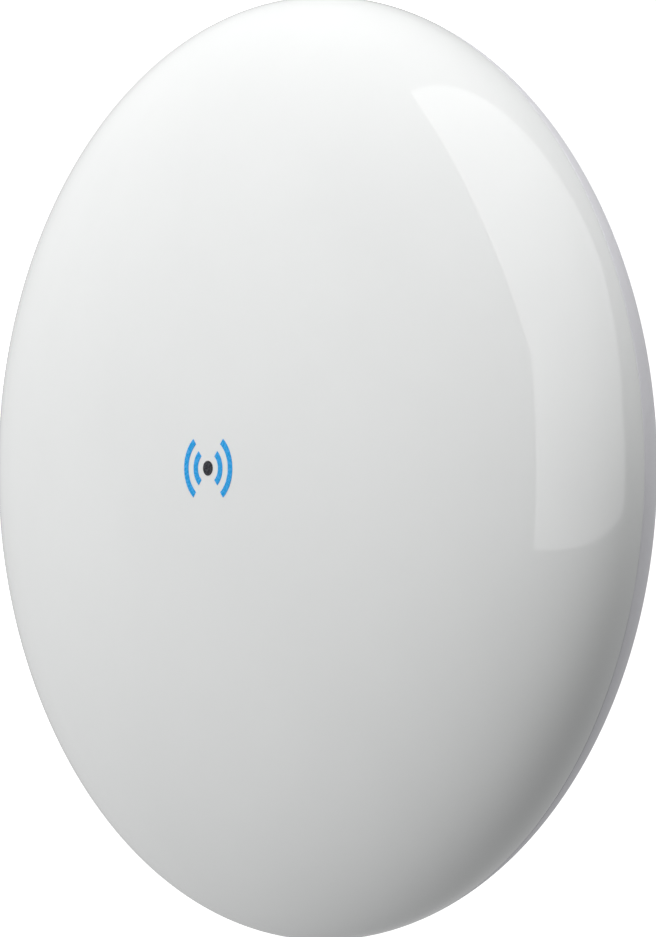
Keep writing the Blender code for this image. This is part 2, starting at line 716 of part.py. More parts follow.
def on_board(name, x, z, width, height, thickness, finish, front=False):
    """A flat-bottomed component, by the middle (x, z) of its footprint, on the board's rear or front."""
    near = BOARD_FRONT - GAP - thickness if front else BOARD_REAR + GAP
    low = (x - width / 2, near, z - height / 2)
    return box(name, low, (x + width / 2, near + thickness, z + height / 2), finish)


def make_components():
    can_top = LOW_POST_Z - POST_RADIUS / 2
    can_bottom = BOARD_BOTTOM + POST_CLEARANCE
    middle = (can_top + can_bottom) / 2
    on_board("shield_can", 0, middle, 0.0280, can_top - can_bottom, 0.0021, "tinplate", front=True)
    processor_x = -(BOARD_HALF_WIDTH - 0.0072)
    on_board("processor_chip", processor_x, 0.0045, 0.0110, 0.0110, 0.0012, "black_component")
    on_board("memory_chip", -processor_x, 0.0065, 0.0080, 0.0060, 0.0010, "black_component")
    transformer_z = JACK_TOP - 0.0025
    on_board("line_transformer", BUTTON_X, transformer_z, 0.0085, 0.0065, 0.0060, "black_component")
    switch_top = SPLIT_Z + BUTTON_LENGTH - BUTTON_PROUD + BUTTON_TRAVEL + GAP
    switch_z = switch_top + 0.0016
    switch_depth = BUTTON_BEHIND + BUTTON_RADIUS - BOARD_REAR
    on_board("reset_switch", BUTTON_X, switch_z, 0.0060, 0.0032, switch_depth, "black_component")
    for number, drop in enumerate((0.0030, 0.0105), 1):
        outline = [
            (0, BOARD_REAR + 0.0100),
            (0.0026, BOARD_REAR + 0.0100),
            (0.0030, BOARD_REAR + 0.0096),
            (0.0030, BOARD_REAR + GAP),
            (0, BOARD_REAR + GAP),
        ]
        at = (-BUTTON_X, from_rim(0), JACK_TOP - drop)
        turned(f"capacitor_{number}", outline, "black_component", at, steps=SCREW_STEPS)


def make_jack():
    half = JACK_WIDTH / 2
    jack = box("ethernet_jack", (-half, JACK_FRONT, SPLIT_Z), (half, JACK_REAR, JACK_TOP), "tinplate")
    mouth = JACK_MOUTH_WIDTH / 2
    latch = JACK_LATCH_WIDTH / 2
    floor = JACK_FRONT + JACK_LIP
    step = floor + JACK_MOUTH_HEIGHT
    low, high = SPLIT_Z - JACK_LIP, SPLIT_Z + JACK_MOUTH_DEPTH
    cut(
        jack,
        box("jack_mouth", (-mouth, floor, low), (mouth, step, high)),
        box("jack_latch_way", (-latch, floor + JACK_LIP, low), (latch, step + JACK_LATCH_HEIGHT, high)),
    )
    return jack


def make_light_pipes():
    front = BOARD_REAR + 3 * GAP
    rear = POD_REAR + GAP
    outline = [
        (0, rear),
        (0.7 * LIGHT_RADIUS, rear),
        (LIGHT_RADIUS, rear - GAP),
        (LIGHT_RADIUS, front),
        (0, front),
    ]
    for number, (x, z) in enumerate(light_places(), 1):
        name = f"light_pipe_{number}"
        turned(name, outline, "clear_light_pipe", (x, from_rim(0), z), steps=SCREW_STEPS)


# ---------------------------------------------------------------- cable port
def make_port_cover():
    cover = pod_block("port_cover", "satin_white_plastic")
    wide = 2 * POD_HALF_WIDTH
    inner = POD_HALF_WIDTH - POD_WALL
    above = box("above_split", (-wide, 0, SPLIT_Z - GAP), (wide, 2 * POD_REAR, -SPLIT_Z))
    fit = [(0, BOWL_DEPTH + GAP)] + oval(RIM_RADIUS + GAP, BOWL_DEPTH + GAP, 80, 0, 10)
    fit += [(RIM_RADIUS + GAP, -TONGUE_LENGTH), (0, -TONGUE_LENGTH)]
    room = box(
        "cover_room",
        (-inner, 0, POD_BOTTOM + POD_WALL),
        (inner, POD_REAR - POD_WALL, SPLIT_Z + POD_WALL),
    )
    hole = upright_rod(
        "grommet_hole",
        0,
        GROMMET_BEHIND,
        GROMMET_HOLE_RADIUS,
        POD_BOTTOM - POD_WALL,
        POD_BOTTOM + 2 * POD_WALL,
        steps=TURN_STEPS,
    )
    cut(cover, above, turned("bowl_fit", fit, steps=DISH_STEPS), room, hole)
    half = COVER_RIDGE_WIDTH / 2
    for i in range(COVER_RIDGES):
        z = POD_BOTTOM + POD_ROUNDING + (i + 1) * COVER_RIDGE_SPACING - COVER_RIDGE / 2
        low = (-half, POD_REAR - COVER_RIDGE, z)
        join(cover, box(f"ridge_{i + 1}", low, (half, POD_REAR + COVER_RIDGE, z + COVER_RIDGE)))
    return cover


def make_grommet():
    stem = GROMMET_HOLE_RADIUS - GAP
    top = POD_BOTTOM + POD_WALL + GAP
    bottom = POD_BOTTOM - GAP
    outline = [
        (GROMMET_FLANGE_RADIUS, top + GROMMET_FLANGE),
        (GROMMET_FLANGE_RADIUS, top),
        (stem, top),
        (stem, bottom),
        (GROMMET_FLANGE_RADIUS, bottom),
        (GROMMET_FLANGE_RADIUS, bottom - GROMMET_FLANGE),
        (CABLE_HOLE_RADIUS, bottom - GROMMET_FLANGE),
        (CABLE_HOLE_RADIUS, top + GROMMET_FLANGE),
    ]
    at = (0, from_rim(GROMMET_BEHIND), 0)
    return turned("cable_grommet", outline, "black_rubber", at, steps=24, loop=True, along="Z")


def make_reset_button():
    bottom = SPLIT_Z - BUTTON_PROUD
    flange = SPLIT_Z + POD_WALL + GAP
    outline = [
        (0, bottom + BUTTON_LENGTH),
        (BUTTON_RADIUS, bottom + BUTTON_LENGTH),
        (BUTTON_RADIUS, flange + POD_WALL / 2),
        (BUTTON_FLANGE_RADIUS, flange + POD_WALL / 2),
        (BUTTON_FLANGE_RADIUS, flange),
        (BUTTON_RADIUS, flange),
        (BUTTON_RADIUS, bottom),
        (0, bottom),
    ]
    at = (BUTTON_X, from_rim(BUTTON_BEHIND), 0)
    return turned("reset_button", outline, "grey_plastic", at, steps=SCREW_STEPS, along="Z")


# ---------------------------------------------------------------- ball joint
def make_socket_collar():
    cup = shifted(ball_arc(CUP_RADIUS, 0, math.pi / 2, 8), BALL_BEHIND)
    outer = CUP_RADIUS + CUP_WALL
    meet = math.acos((BALL_BEHIND - FLANGE_BEHIND) / outer)
    underside = shifted(ball_arc(outer, meet, 0, 6), BALL_BEHIND)
    outline = cup + [
        (CUP_RADIUS, COLLAR_REAR),
        (THREAD_RADIUS, COLLAR_REAR),
        (THREAD_RADIUS, FLANGE_BEHIND + COLLAR_FLANGE),
        (FLANGE_RADIUS, FLANGE_BEHIND + COLLAR_FLANGE),
        (FLANGE_RADIUS, FLANGE_BEHIND),
    ]
    collar = turned("socket_collar", outline + underside, "grey_plastic")
    radius = BOARD_SCREW_RADIUS + GAP
    cut(collar, rods("collar_holes", collar_screw_places(), radius, 0, 2 * POD_REAR))
    return collar


def make_collar_gasket():
    inside = THREAD_RADIUS + GAP
    outline = [
        (FLANGE_RADIUS, GASKET_BEHIND + GASKET_THICKNESS),
        (FLANGE_RADIUS, GASKET_BEHIND),
        (inside, GASKET_BEHIND),
        (inside, GASKET_BEHIND + GASKET_THICKNESS),
    ]
    gasket = turned("collar_gasket", outline, "black_rubber", loop=True)
    radius = BOARD_SCREW_RADIUS + GAP
    cut(gasket, rods("gasket_holes", collar_screw_places(), radius, 0, 2 * POD_REAR))
    return gasket


def make_ball_liners():
    """Two thin nested cups, one inside the other, that the ball turns in."""
    inner = BALL_RADIUS + SWIVEL_GAP
    for name in ("ball_liner_inner", "ball_liner_outer"):
        outer = inner + LINER_WALL
        outline = ball_arc(inner, 0, LINER_REACH, 5) + ball_arc(outer, LINER_REACH, 0, 5)
        turned(name, outline, "cream_dielectric", (0, from_rim(BALL_BEHIND), 0))
        inner = outer + SWIVEL_GAP


def make_clamp_ring():
    grip = BALL_RADIUS + SWIVEL_GAP
    start = math.acos(-(RING_FRONT - BALL_BEHIND) / grip)
    end = math.acos(-(RING_REAR - BALL_BEHIND) / grip)
    outline = shifted(ball_arc(grip, start, end, 3), BALL_BEHIND)
    outline += [(CUP_RADIUS - GAP, RING_REAR), (CUP_RADIUS - GAP, RING_FRONT)]
    return turned("clamp_ring", outline, "grey_plastic", loop=True)


def make_lock_nut():
    thread = THREAD_RADIUS + THREAD_GAP
    opening = math.sqrt(BALL_RADIUS**2 - (LIP_BEHIND - BALL_BEHIND) ** 2) + NUT_LIP_CLEARANCE
    outline = [
        (NUT_RADIUS - NUT_CHAMFER, NUT_REAR),
        (NUT_RADIUS, NUT_REAR - NUT_CHAMFER),
        (NUT_RADIUS, NUT_FRONT),
        (thread, NUT_FRONT),
        (thread, LIP_BEHIND),
        (opening, LIP_BEHIND),
        (opening + NUT_LIP_FLARE, NUT_REAR),
    ]
    nut = turned("lock_nut", outline, "satin_white_plastic", steps=48, loop=True)
    flute = NUT_WALL / 2
    places = on_circle(NUT_FLUTES, NUT_RADIUS + 0.2 * flute)
    cut(nut, rods("nut_flutes", places, flute, NUT_FRONT - flute, NUT_REAR + flute))
    return nut


def make_ball_stud():
    stem_angle = math.pi - math.asin(STEM_RADIUS / BALL_RADIUS)
    front = BRACKET_FRONT - GAP
    end = VEE_FLOOR - GAP
    ball = list(reversed(shifted(ball_arc(BALL_RADIUS, 0, stem_angle, 11), BALL_BEHIND)))
    outline = [
        (0, end),
        (STUD_SHANK_RADIUS, end),
        (STUD_SHANK_RADIUS, front),
        (STUD_FOOT_RADIUS, front),
        (STUD_FOOT_RADIUS - 0.0006, front - 0.0008),
        (STEM_RADIUS, front - 0.0026),
    ]
    return turned("ball_stud", outline + ball, "zinc_steel")


# ---------------------------------------------------------------- pole bracket
def vee_side():
    """Half of the toothed vee, from its floor out to the land, as (x, behind)."""
    points = [(VEE_FLOOR_HALF_WIDTH, VEE_FLOOR)]
    run = VEE_HALF_WIDTH - VEE_FLOOR_HALF_WIDTH
    for i in range(VEE_TEETH):
        start = VEE_FLOOR_HALF_WIDTH + run * i / VEE_TEETH
        crest = start + run / VEE_TEETH * 0.85
        rise = (crest - VEE_FLOOR_HALF_WIDTH) * math.tan(VEE_SLOPE)
        points.append((crest, VEE_FLOOR + rise - VEE_TOOTH_DEPTH))
        end = VEE_FLOOR_HALF_WIDTH + run * (i + 1) / VEE_TEETH
        points.append((end, VEE_FLOOR + (end - VEE_FLOOR_HALF_WIDTH) * math.tan(VEE_SLOPE)))
    return points


def make_pole_bracket():
    side = vee_side() + [
        (BRACKET_HALF_WIDTH, BRACKET_REAR),
        (BRACKET_HALF_WIDTH, BRACKET_FRONT + BRACKET_CHAMFER),
        (BRACKET_HALF_WIDTH - BRACKET_CHAMFER, BRACKET_FRONT),
    ]
    outline = side + [(-x, behind) for x, behind in reversed(side)]
    bracket = plate("pole_bracket", outline, BRACKET_HALF_HEIGHT, "grey_plastic")
    wide = 2 * BRACKET_HALF_WIDTH
    half = STRAP_SLOT_HEIGHT / 2
    for name, z in (("upper_slot", STRAP_SLOT_CENTRE), ("lower_slot", -STRAP_SLOT_CENTRE)):
        cut(bracket, box(name, (-wide, SLOT_FRONT, z - half), (wide, SLOT_REAR, z + half)))
    cut(
        bracket,
        rods("stud_hole", [(0, 0)], STUD_SHANK_RADIUS + GAP, 0, 2 * BRACKET_REAR),
        rods(
            "nut_pocket",
            [(0, 0)],
            STUD_NUT_ACROSS_FLATS / math.sqrt(3) + GAP,
            NUT_POCKET_FLOOR,
            2 * BRACKET_REAR,
            steps=24,
        ),
    )
    return bracket


def ring_mesh_outline(inside, outside, front, thickness):
    return [
        (outside, front + thickness),
        (outside, front),
        (inside, front),
        (inside, front + thickness),
    ]


def make_stud_fasteners():
    bore = STUD_SHANK_RADIUS + GAP
    washer = ring_mesh_outline(bore, STUD_WASHER_RADIUS, NUT_POCKET_FLOOR + GAP, STUD_WASHER_THICKNESS)
    turned("stud_washer", washer, "zinc_steel", steps=24, loop=True)
    front = NUT_POCKET_FLOOR + STUD_WASHER_THICKNESS + 2 * GAP
    corner = STUD_NUT_ACROSS_FLATS / math.sqrt(3)
    nut = ring_mesh_outline(bore, corner, front, STUD_NUT_HEIGHT)
    hexagon = turned("stud_nut", nut, "zinc_steel", steps=24, loop=True)
    long = 2 * STUD_NUT_HEIGHT
    blank = rods("hexagon", [(0, 0)], corner, front - long, front + long, steps=6)
    boolean(hexagon, blank, "INTERSECT")


# ---------------------------------------------------------------- assembly
def make_screws():
    board_screw = screw_outline(BOARD_SCREW_HEAD_RADIUS, 0.0011, BOARD_SCREW_RADIUS, 0.0058)
    screws("board_screw", board_posts(), board_screw, BOARD_FRONT)
    collar_screw = screw_outline(0.0019, 0.0010, BOARD_SCREW_RADIUS, 0.0048)
    screws("collar_screw", collar_screw_places(), collar_screw, FLANGE_BEHIND)
    reflector_screw = screw_outline(REFLECTOR_SCREW_HEAD_RADIUS, 0.0015, REFLECTOR_SCREW_RADIUS, 0.0080)
    screws("reflector_screw", reflector_screw_places(), reflector_screw, -REFLECTOR_RIM_AHEAD)


def hang_head_on_pivot():
    """Everything that swivels hangs from one pivot at the ball's centre; the bracket and stud stay."""
    pivot = bpy.data.objects.new("head_pivot", None)
    PARTS.objects.link(pivot)
    pivot.location = (0, from_rim(BALL_BEHIND), 0)
    fixed = {"pole_bracket", "ball_stud", "stud_nut", "stud_washer", "head_pivot"}
    for obj in list(PARTS.objects) + list(CUTTERS.objects):
        if obj.name in fixed or obj.name in FIXED_CUTTERS:
            continue
        obj.parent = pivot
        obj.matrix_parent_inverse = Matrix.Translation(-pivot.location)


def main():
    make_finishes()
    make_radome()
    make_radome_seal()
    make_rear_shell()
    make_vent_plug()
    make_main_reflector()
    make_feed()
    make_board()
    make_components()
    make_jack()
    make_light_pipes()
    make_port_cover()
    make_grommet()
    make_reset_button()
    make_socket_collar()
    make_collar_gasket()
    make_ball_liners()
    make_clamp_ring()
    make_lock_nut()
    make_screws()
    make_ball_stud()
    make_pole_bracket()
    make_stud_fasteners()
    hang_head_on_pivot()
    for mesh in bpy.data.meshes:
        smooth_mesh(mesh)


clear_scene()
PARTS = new_collection("bridge_antenna")
CUTTERS = new_collection("cutters")
FIXED_CUTTERS = {"upper_slot", "lower_slot", "stud_hole", "nut_pocket", "hexagon"}
main()
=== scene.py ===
"""Outdoor wireless bridge antenna: the fine surfaces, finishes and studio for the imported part.

Metres, +Z up. The dome looks along -Y, and the pole bracket is behind it. Along the antenna's axis a place
is given as "behind": its distance behind the rim plane, where the body is widest.
"""

import math

import bmesh
import bpy
import numpy as np
from bpy.props import FloatProperty, FloatVectorProperty, IntProperty, PointerProperty
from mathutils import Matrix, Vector


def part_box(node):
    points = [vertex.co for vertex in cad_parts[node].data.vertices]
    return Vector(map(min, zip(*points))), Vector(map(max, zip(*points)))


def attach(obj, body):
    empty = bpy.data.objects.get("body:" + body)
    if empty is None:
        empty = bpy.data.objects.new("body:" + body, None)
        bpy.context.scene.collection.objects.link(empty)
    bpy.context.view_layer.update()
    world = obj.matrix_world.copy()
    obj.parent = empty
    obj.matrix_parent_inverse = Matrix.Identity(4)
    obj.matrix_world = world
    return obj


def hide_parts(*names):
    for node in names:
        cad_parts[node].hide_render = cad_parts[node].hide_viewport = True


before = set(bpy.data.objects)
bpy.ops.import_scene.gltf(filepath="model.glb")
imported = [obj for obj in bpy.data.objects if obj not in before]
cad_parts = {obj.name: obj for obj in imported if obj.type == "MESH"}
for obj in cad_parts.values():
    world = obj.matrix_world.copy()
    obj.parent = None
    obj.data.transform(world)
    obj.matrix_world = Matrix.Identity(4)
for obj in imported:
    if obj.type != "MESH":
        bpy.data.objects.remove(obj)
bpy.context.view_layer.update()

bl_info = {
    "name": "Bridge Antenna",
    "version": (1, 0, 0),
    "blender": (4, 5, 0),
    "location": "3D View > Sidebar > Antenna",
    "description": "Fine surfaces and finishes for an outdoor wireless bridge antenna",
    "category": "Add Mesh",
}


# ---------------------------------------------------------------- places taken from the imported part
def low(node):
    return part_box(node)[0]


def high(node):
    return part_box(node)[1]


DOME_HEIGHT = 0.0271
RIM_Y = low("radome").y + DOME_HEIGHT
RIM_RADIUS = high("radome").x


def behind_of(y):
    """How far behind the rim plane a world Y is."""
    return y - RIM_Y


SEAM = behind_of(high("radome").y)
BALL = behind_of(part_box("ball_stud")[0].y) + high("ball_stud").x
NUT_RADIUS = 0.0205
NUT_FRONT = behind_of(low("lock_nut").y)
NUT_REAR = behind_of(high("lock_nut").y)
RING_FRONT = behind_of(low("clamp_ring").y)
RING_REAR = behind_of(high("clamp_ring").y)
BRACKET_FRONT = behind_of(low("pole_bracket").y)
BRACKET_REAR = behind_of(high("pole_bracket").y)
POD_REAR = behind_of(high("rear_shell").y)
SPLIT_Z = low("ethernet_jack").z
JACK_FRONT = behind_of(low("ethernet_jack").y)
JACK_REAR = behind_of(high("ethernet_jack").y)
POD_HALF_WIDTH = high("port_cover").x
POD_BOTTOM = low("port_cover").z
POD_TOP = -0.008
BUTTON_X = (low("reset_button").x + high("reset_button").x) / 2
BUTTON_BEHIND = behind_of((low("reset_button").y + high("reset_button").y) / 2)
GROMMET_BEHIND = behind_of((low("cable_grommet").y + high("cable_grommet").y) / 2)
VENT_Z = (low("vent_plug").z + high("vent_plug").z) / 2
GAP = 0.0003
OUTLET_RADIUS = 0.0046
TONGUE_RADIUS = 0.0913
TONGUE_LENGTH = 0.0030
TONGUE_WALL = 0.0018
COLLAR_FLANGE_WIDTH = 0.0065
POD_AHEAD = 0.012
FAR_AHEAD, FAR_BEHIND = -0.02, 0.1


# ---------------------------------------------------------------- settings a user would change
def length(name, description, default):
    return FloatProperty(name=name, description=description, default=default, unit="LENGTH")


def colour(name, description, default):
    return FloatVectorProperty(
        name=name, description=description, default=default, subtype="COLOR", size=3, min=0, max=1
    )


class AntennaSizes(bpy.types.PropertyGroup):
    bowl_depth: length("Bowl depth", "Depth of the oval that the rear bowl follows", 0.0324)
    dome_wall: length("Dome wall", "Thickness of the radome", 0.0022)
    bowl_wall: length("Bowl wall", "Thickness of the rear bowl", 0.0022)
    pod_wall: length("Pod wall", "Thickness of the pod's and the port cover's walls", 0.0020)
    pod_rounding: length("Pod rounding", "Radius of the pod's long edges", 0.0040)
    pod_fillet: length("Pod fillet", "Radius of the blend between the pod and the bowl", 0.0022)
    seam_rounding: length(
        "Seam rounding", "Radius of the bowl's edge at the seam; the dome's edge takes half", 0.00026
    )
    seam_gap: length("Seam gap", "Width of the gap between the dome and the bowl", 0.00008)
    boss_radius: length("Boss radius", "Radius of the flat that the collar comes through", 0.0240)
    mark_radius: length("Mark radius", "Outer radius of the printed wave mark on the dome", 0.0074)
    mark_print: length("Print thickness", "How far the printed mark stands off the dome", 0.00006)
    ball_radius: length("Ball radius", "Radius of the ball on the stud", 0.0110)
    stem_radius: length("Stem radius", "Radius of the stud's neck", 0.0045)
    thread_pitch: length("Thread pitch", "Pitch of the thread drawn on the collar", 0.0015)
    flutes: IntProperty(
        name="Flutes",
        description="Grip flutes round the lock nut",
        default=12,
        min=3,
    )
    flute_depth: length("Flute depth", "Depth of the lock nut's grip flutes", 0.0017)
    round_steps: IntProperty(
        name="Round steps",
        description="Steps round the large round pieces",
        default=288,
        min=24,
    )


class AntennaColours(bpy.types.PropertyGroup):
    dome: colour("Dome", "Colour of the glossy radome", (0.806, 0.816, 0.811))
    bowl: colour("Bowl", "Colour of the satin rear bowl, pod and nut", (0.735, 0.73, 0.765))
    bracket: colour("Bracket", "Colour of the glass-filled grey plastic", (0.16, 0.165, 0.17))
    wave_blue: colour("Wave blue", "Blue of the printed mark", (0.0, 0.33, 0.76))
    wave_dark: colour("Wave dark", "Near-black of the printed mark", (0.025, 0.027, 0.035))


class StudioSettings(bpy.types.PropertyGroup):
    azimuth: FloatProperty(
        name="Azimuth",
        description="How far round to the antenna's left side the camera stands",
        default=math.radians(48.99),
        subtype="ANGLE",
    )
    distance: length("Camera distance", "From the camera to the middle of the rim plane", 1.512)
    lens: FloatProperty(
        name="Lens",
        description="Focal length, in millimetres on a 36 mm sensor",
        default=289.85,
    )
    shift_sideways: FloatProperty(
        name="Shift sideways",
        description="How far the frame is moved sideways, as a share of its longer side",
        default=0.01793,
    )
    shift_upwards: FloatProperty(
        name="Shift upwards",
        description="How far the frame is moved upwards, as a share of its longer side",
        default=-0.00032,
    )
    floor_drop: length("Floor drop", "How far the floor lies under the pole bracket's middle", 2.0)


def sizes():
    return bpy.context.scene.antenna_sizes


def colours():
    return bpy.context.scene.antenna_colours


# ---------------------------------------------------------------- surfaces
def span(start, end, count):
    """Evenly spaced numbers from start to end, both included."""
    return np.linspace(start, end, count)


def oval(radius, depth, start, end, count):
    """(radius, behind) along a quarter oval: radius times cosine, depth times sine, in degrees."""
    angle = np.radians(span(start, end, count))
    return np.stack([np.maximum(radius * np.cos(angle), 0.0), depth * np.sin(angle)], -1)


def arc(radius, start, end, count, along=0.0):
    """(radius, behind) on a sphere about a point on the axis; degrees from its front pole."""
    angle = np.radians(span(start, end, count))
    return np.stack([np.abs(radius * np.sin(angle)), along - radius * np.cos(angle)], -1)


def softened(corners, radius, count=5, closed=True):
    """A profile whose corners are arcs of the given radius: each arc starts and ends at the same distance
    from its corner, tangent to both sides. Open profiles keep their two ends."""
    points = np.asarray(corners, float)
    before = np.roll(points, 1, 0) - points
    after = np.roll(points, -1, 0) - points
    long_before = np.linalg.norm(before, axis=1)
    long_after = np.linalg.norm(after, axis=1)
    before /= np.maximum(long_before, 1e-12)[:, None]
    after /= np.maximum(long_after, 1e-12)[:, None]
    half = np.arccos(np.clip((before * after).sum(1), -1, 1)) / 2
    reach = radius / np.tan(np.maximum(half, 1e-3))
    reach = np.minimum(reach, 0.45 * np.minimum(long_before, long_after))
    share = span(0, 1, count)[None, :, None]
    start = (points + before * reach[:, None])[:, None]
    end = (points + after * reach[:, None])[:, None]
    corner = points[:, None]
    curve = (1 - share) ** 2 * start + 2 * share * (1 - share) * corner + share**2 * end
    if not closed:
        curve = list(curve)
        curve[0] = points[:1]
        curve[-1] = points[-1:]
        return np.concatenate(curve)
    return curve.reshape(-1, 2)


def turned(profile, steps, centre=(0.0, 0.0), along="Y"):
    """The profile's radius and distance carried round the axis: x is radius times cosine, z is radius
    times sine, and y is the distance. Along Z, x and y take the round and z the distance."""
    turn = span(0, 2 * np.pi, steps + 1)[:-1]
    radius = np.asarray(profile)[:, :1]
    distance = np.asarray(profile)[:, 1:] + 0 * turn
    across, up = radius * np.cos(turn), radius * np.sin(turn)
    if along == "Y":
        return np.stack([centre[0] + across, RIM_Y + distance, centre[1] + up], -1)
    return np.stack([centre[0] + across, centre[1] + up, distance], -1)


def block(corner, opposite, radius, count=5):
    """A box with rounded edges: each corner is an eighth of a ball, pushed out by half the box's size less
    the radius, and the flats are the quads between. Corners are (x, behind, z)."""
    first, last = np.asarray(corner, float), np.asarray(opposite, float)
    half, middle = (last - first) / 2, (last + first) / 2 + np.array([0, RIM_Y, 0])
    quarter = span(0, np.pi / 2, count)
    round_angle = np.concatenate([quarter + k * np.pi / 2 for k in range(4)])
    sign_x = np.repeat([1, -1, -1, 1], count)
    sign_y = np.repeat([1, 1, -1, -1], count)
    rise = np.concatenate([quarter - np.pi / 2, quarter])[:, None]
    sign_z = np.repeat([-1, 1], count)[:, None]
    flat = half - radius
    x = sign_x * flat[0] + radius * np.cos(rise) * np.cos(round_angle)
    y = sign_y * flat[1] + radius * np.cos(rise) * np.sin(round_angle)
    z = sign_z * flat[2] + radius * np.sin(rise) + 0 * round_angle
    return np.stack([x, y, z], -1) + middle


def faces_of(rows, columns, closed_rows, closed_columns, start=0):
    """The quads of a grid: each point with its neighbours below, across and along, joined round if closed."""
    index = start + np.arange(rows * columns).reshape(rows, columns)
    if closed_rows:
        index = np.vstack([index, index[:1]])
    if closed_columns:
        index = np.hstack([index, index[:, :1]])
    corners = [index[:-1, :-1], index[1:, :-1], index[1:, 1:], index[:-1, 1:]]
    return np.stack(corners, -1).reshape(-1, 4)


def mesh_from(name, grids):
    """One closed mesh from grids, each (points, closed along rows, closed along columns): doubles are merged,
    open ends are filled, and the faces point outwards."""
    vertices, faces, start = [], [], 0
    for points, closed_rows, closed_columns in grids:
        rows, columns = points.shape[:2]
        vertices.append(points.reshape(-1, 3))
        faces.append(faces_of(rows, columns, closed_rows, closed_columns, start))
        start += rows * columns
    mesh = bpy.data.meshes.new(name)
    mesh.from_pydata(np.concatenate(vertices).tolist(), [], np.concatenate(faces).tolist())
    bm = bmesh.new()
    bm.from_mesh(mesh)
    bmesh.ops.remove_doubles(bm, verts=bm.verts, dist=1e-7)
    bmesh.ops.dissolve_degenerate(bm, dist=1e-8, edges=bm.edges)
    border = [edge for edge in bm.edges if edge.is_boundary]
    if border:
        bmesh.ops.holes_fill(bm, edges=border, sides=0)
    bmesh.ops.recalc_face_normals(bm, faces=bm.faces)
    bm.to_mesh(mesh)
    bm.free()
    return mesh


def loose(name, grids):
    """An object with the mesh of the grids, not yet finished."""
    obj = bpy.data.objects.new(name, mesh_from(name, grids))
    bpy.context.scene.collection.objects.link(obj)
    return obj


def tube(name, centre, radius, first, last, steps=48, along="Y"):
    """A plain round bar used to bore and to join: its ends are flat."""
    profile = [(0, first), (radius, first), (radius, last), (0, last)]
    return loose(name, [(turned(profile, steps, centre, along), False, True)])


def combine(obj, others, operation="DIFFERENCE"):
    """Cuts others from obj or joins them to it, one after another, and removes them."""
    for other in others:
        step = obj.modifiers.new("shape", "BOOLEAN")
        step.operation = operation
        step.solver = "EXACT"
        step.object = other
        bpy.context.view_layer.update()
        graph = bpy.context.evaluated_depsgraph_get()
        made = bpy.data.meshes.new_from_object(obj.evaluated_get(graph))
        obj.modifiers.remove(step)
        old = obj.data
        obj.data = made
        bpy.data.meshes.remove(old)
        bpy.data.objects.remove(other)
    bm = bmesh.new()
    bm.from_mesh(obj.data)
    bmesh.ops.dissolve_degenerate(bm, dist=1e-7, edges=bm.edges)
    bm.to_mesh(obj.data)
    bm.free()
    return obj


def finish_piece(obj, body, material, replaces=None, angle=32):
    """Shades a piece, gives it its finish, and hangs it on the body it moves with."""
    obj.data.materials.clear()
    obj.data.materials.append(bpy.data.materials[material])
    obj.data.shade_smooth()
    obj.data.set_sharp_from_angle(angle=math.radians(angle))
    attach(obj, body)
    if replaces:
        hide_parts(replaces)
    return obj


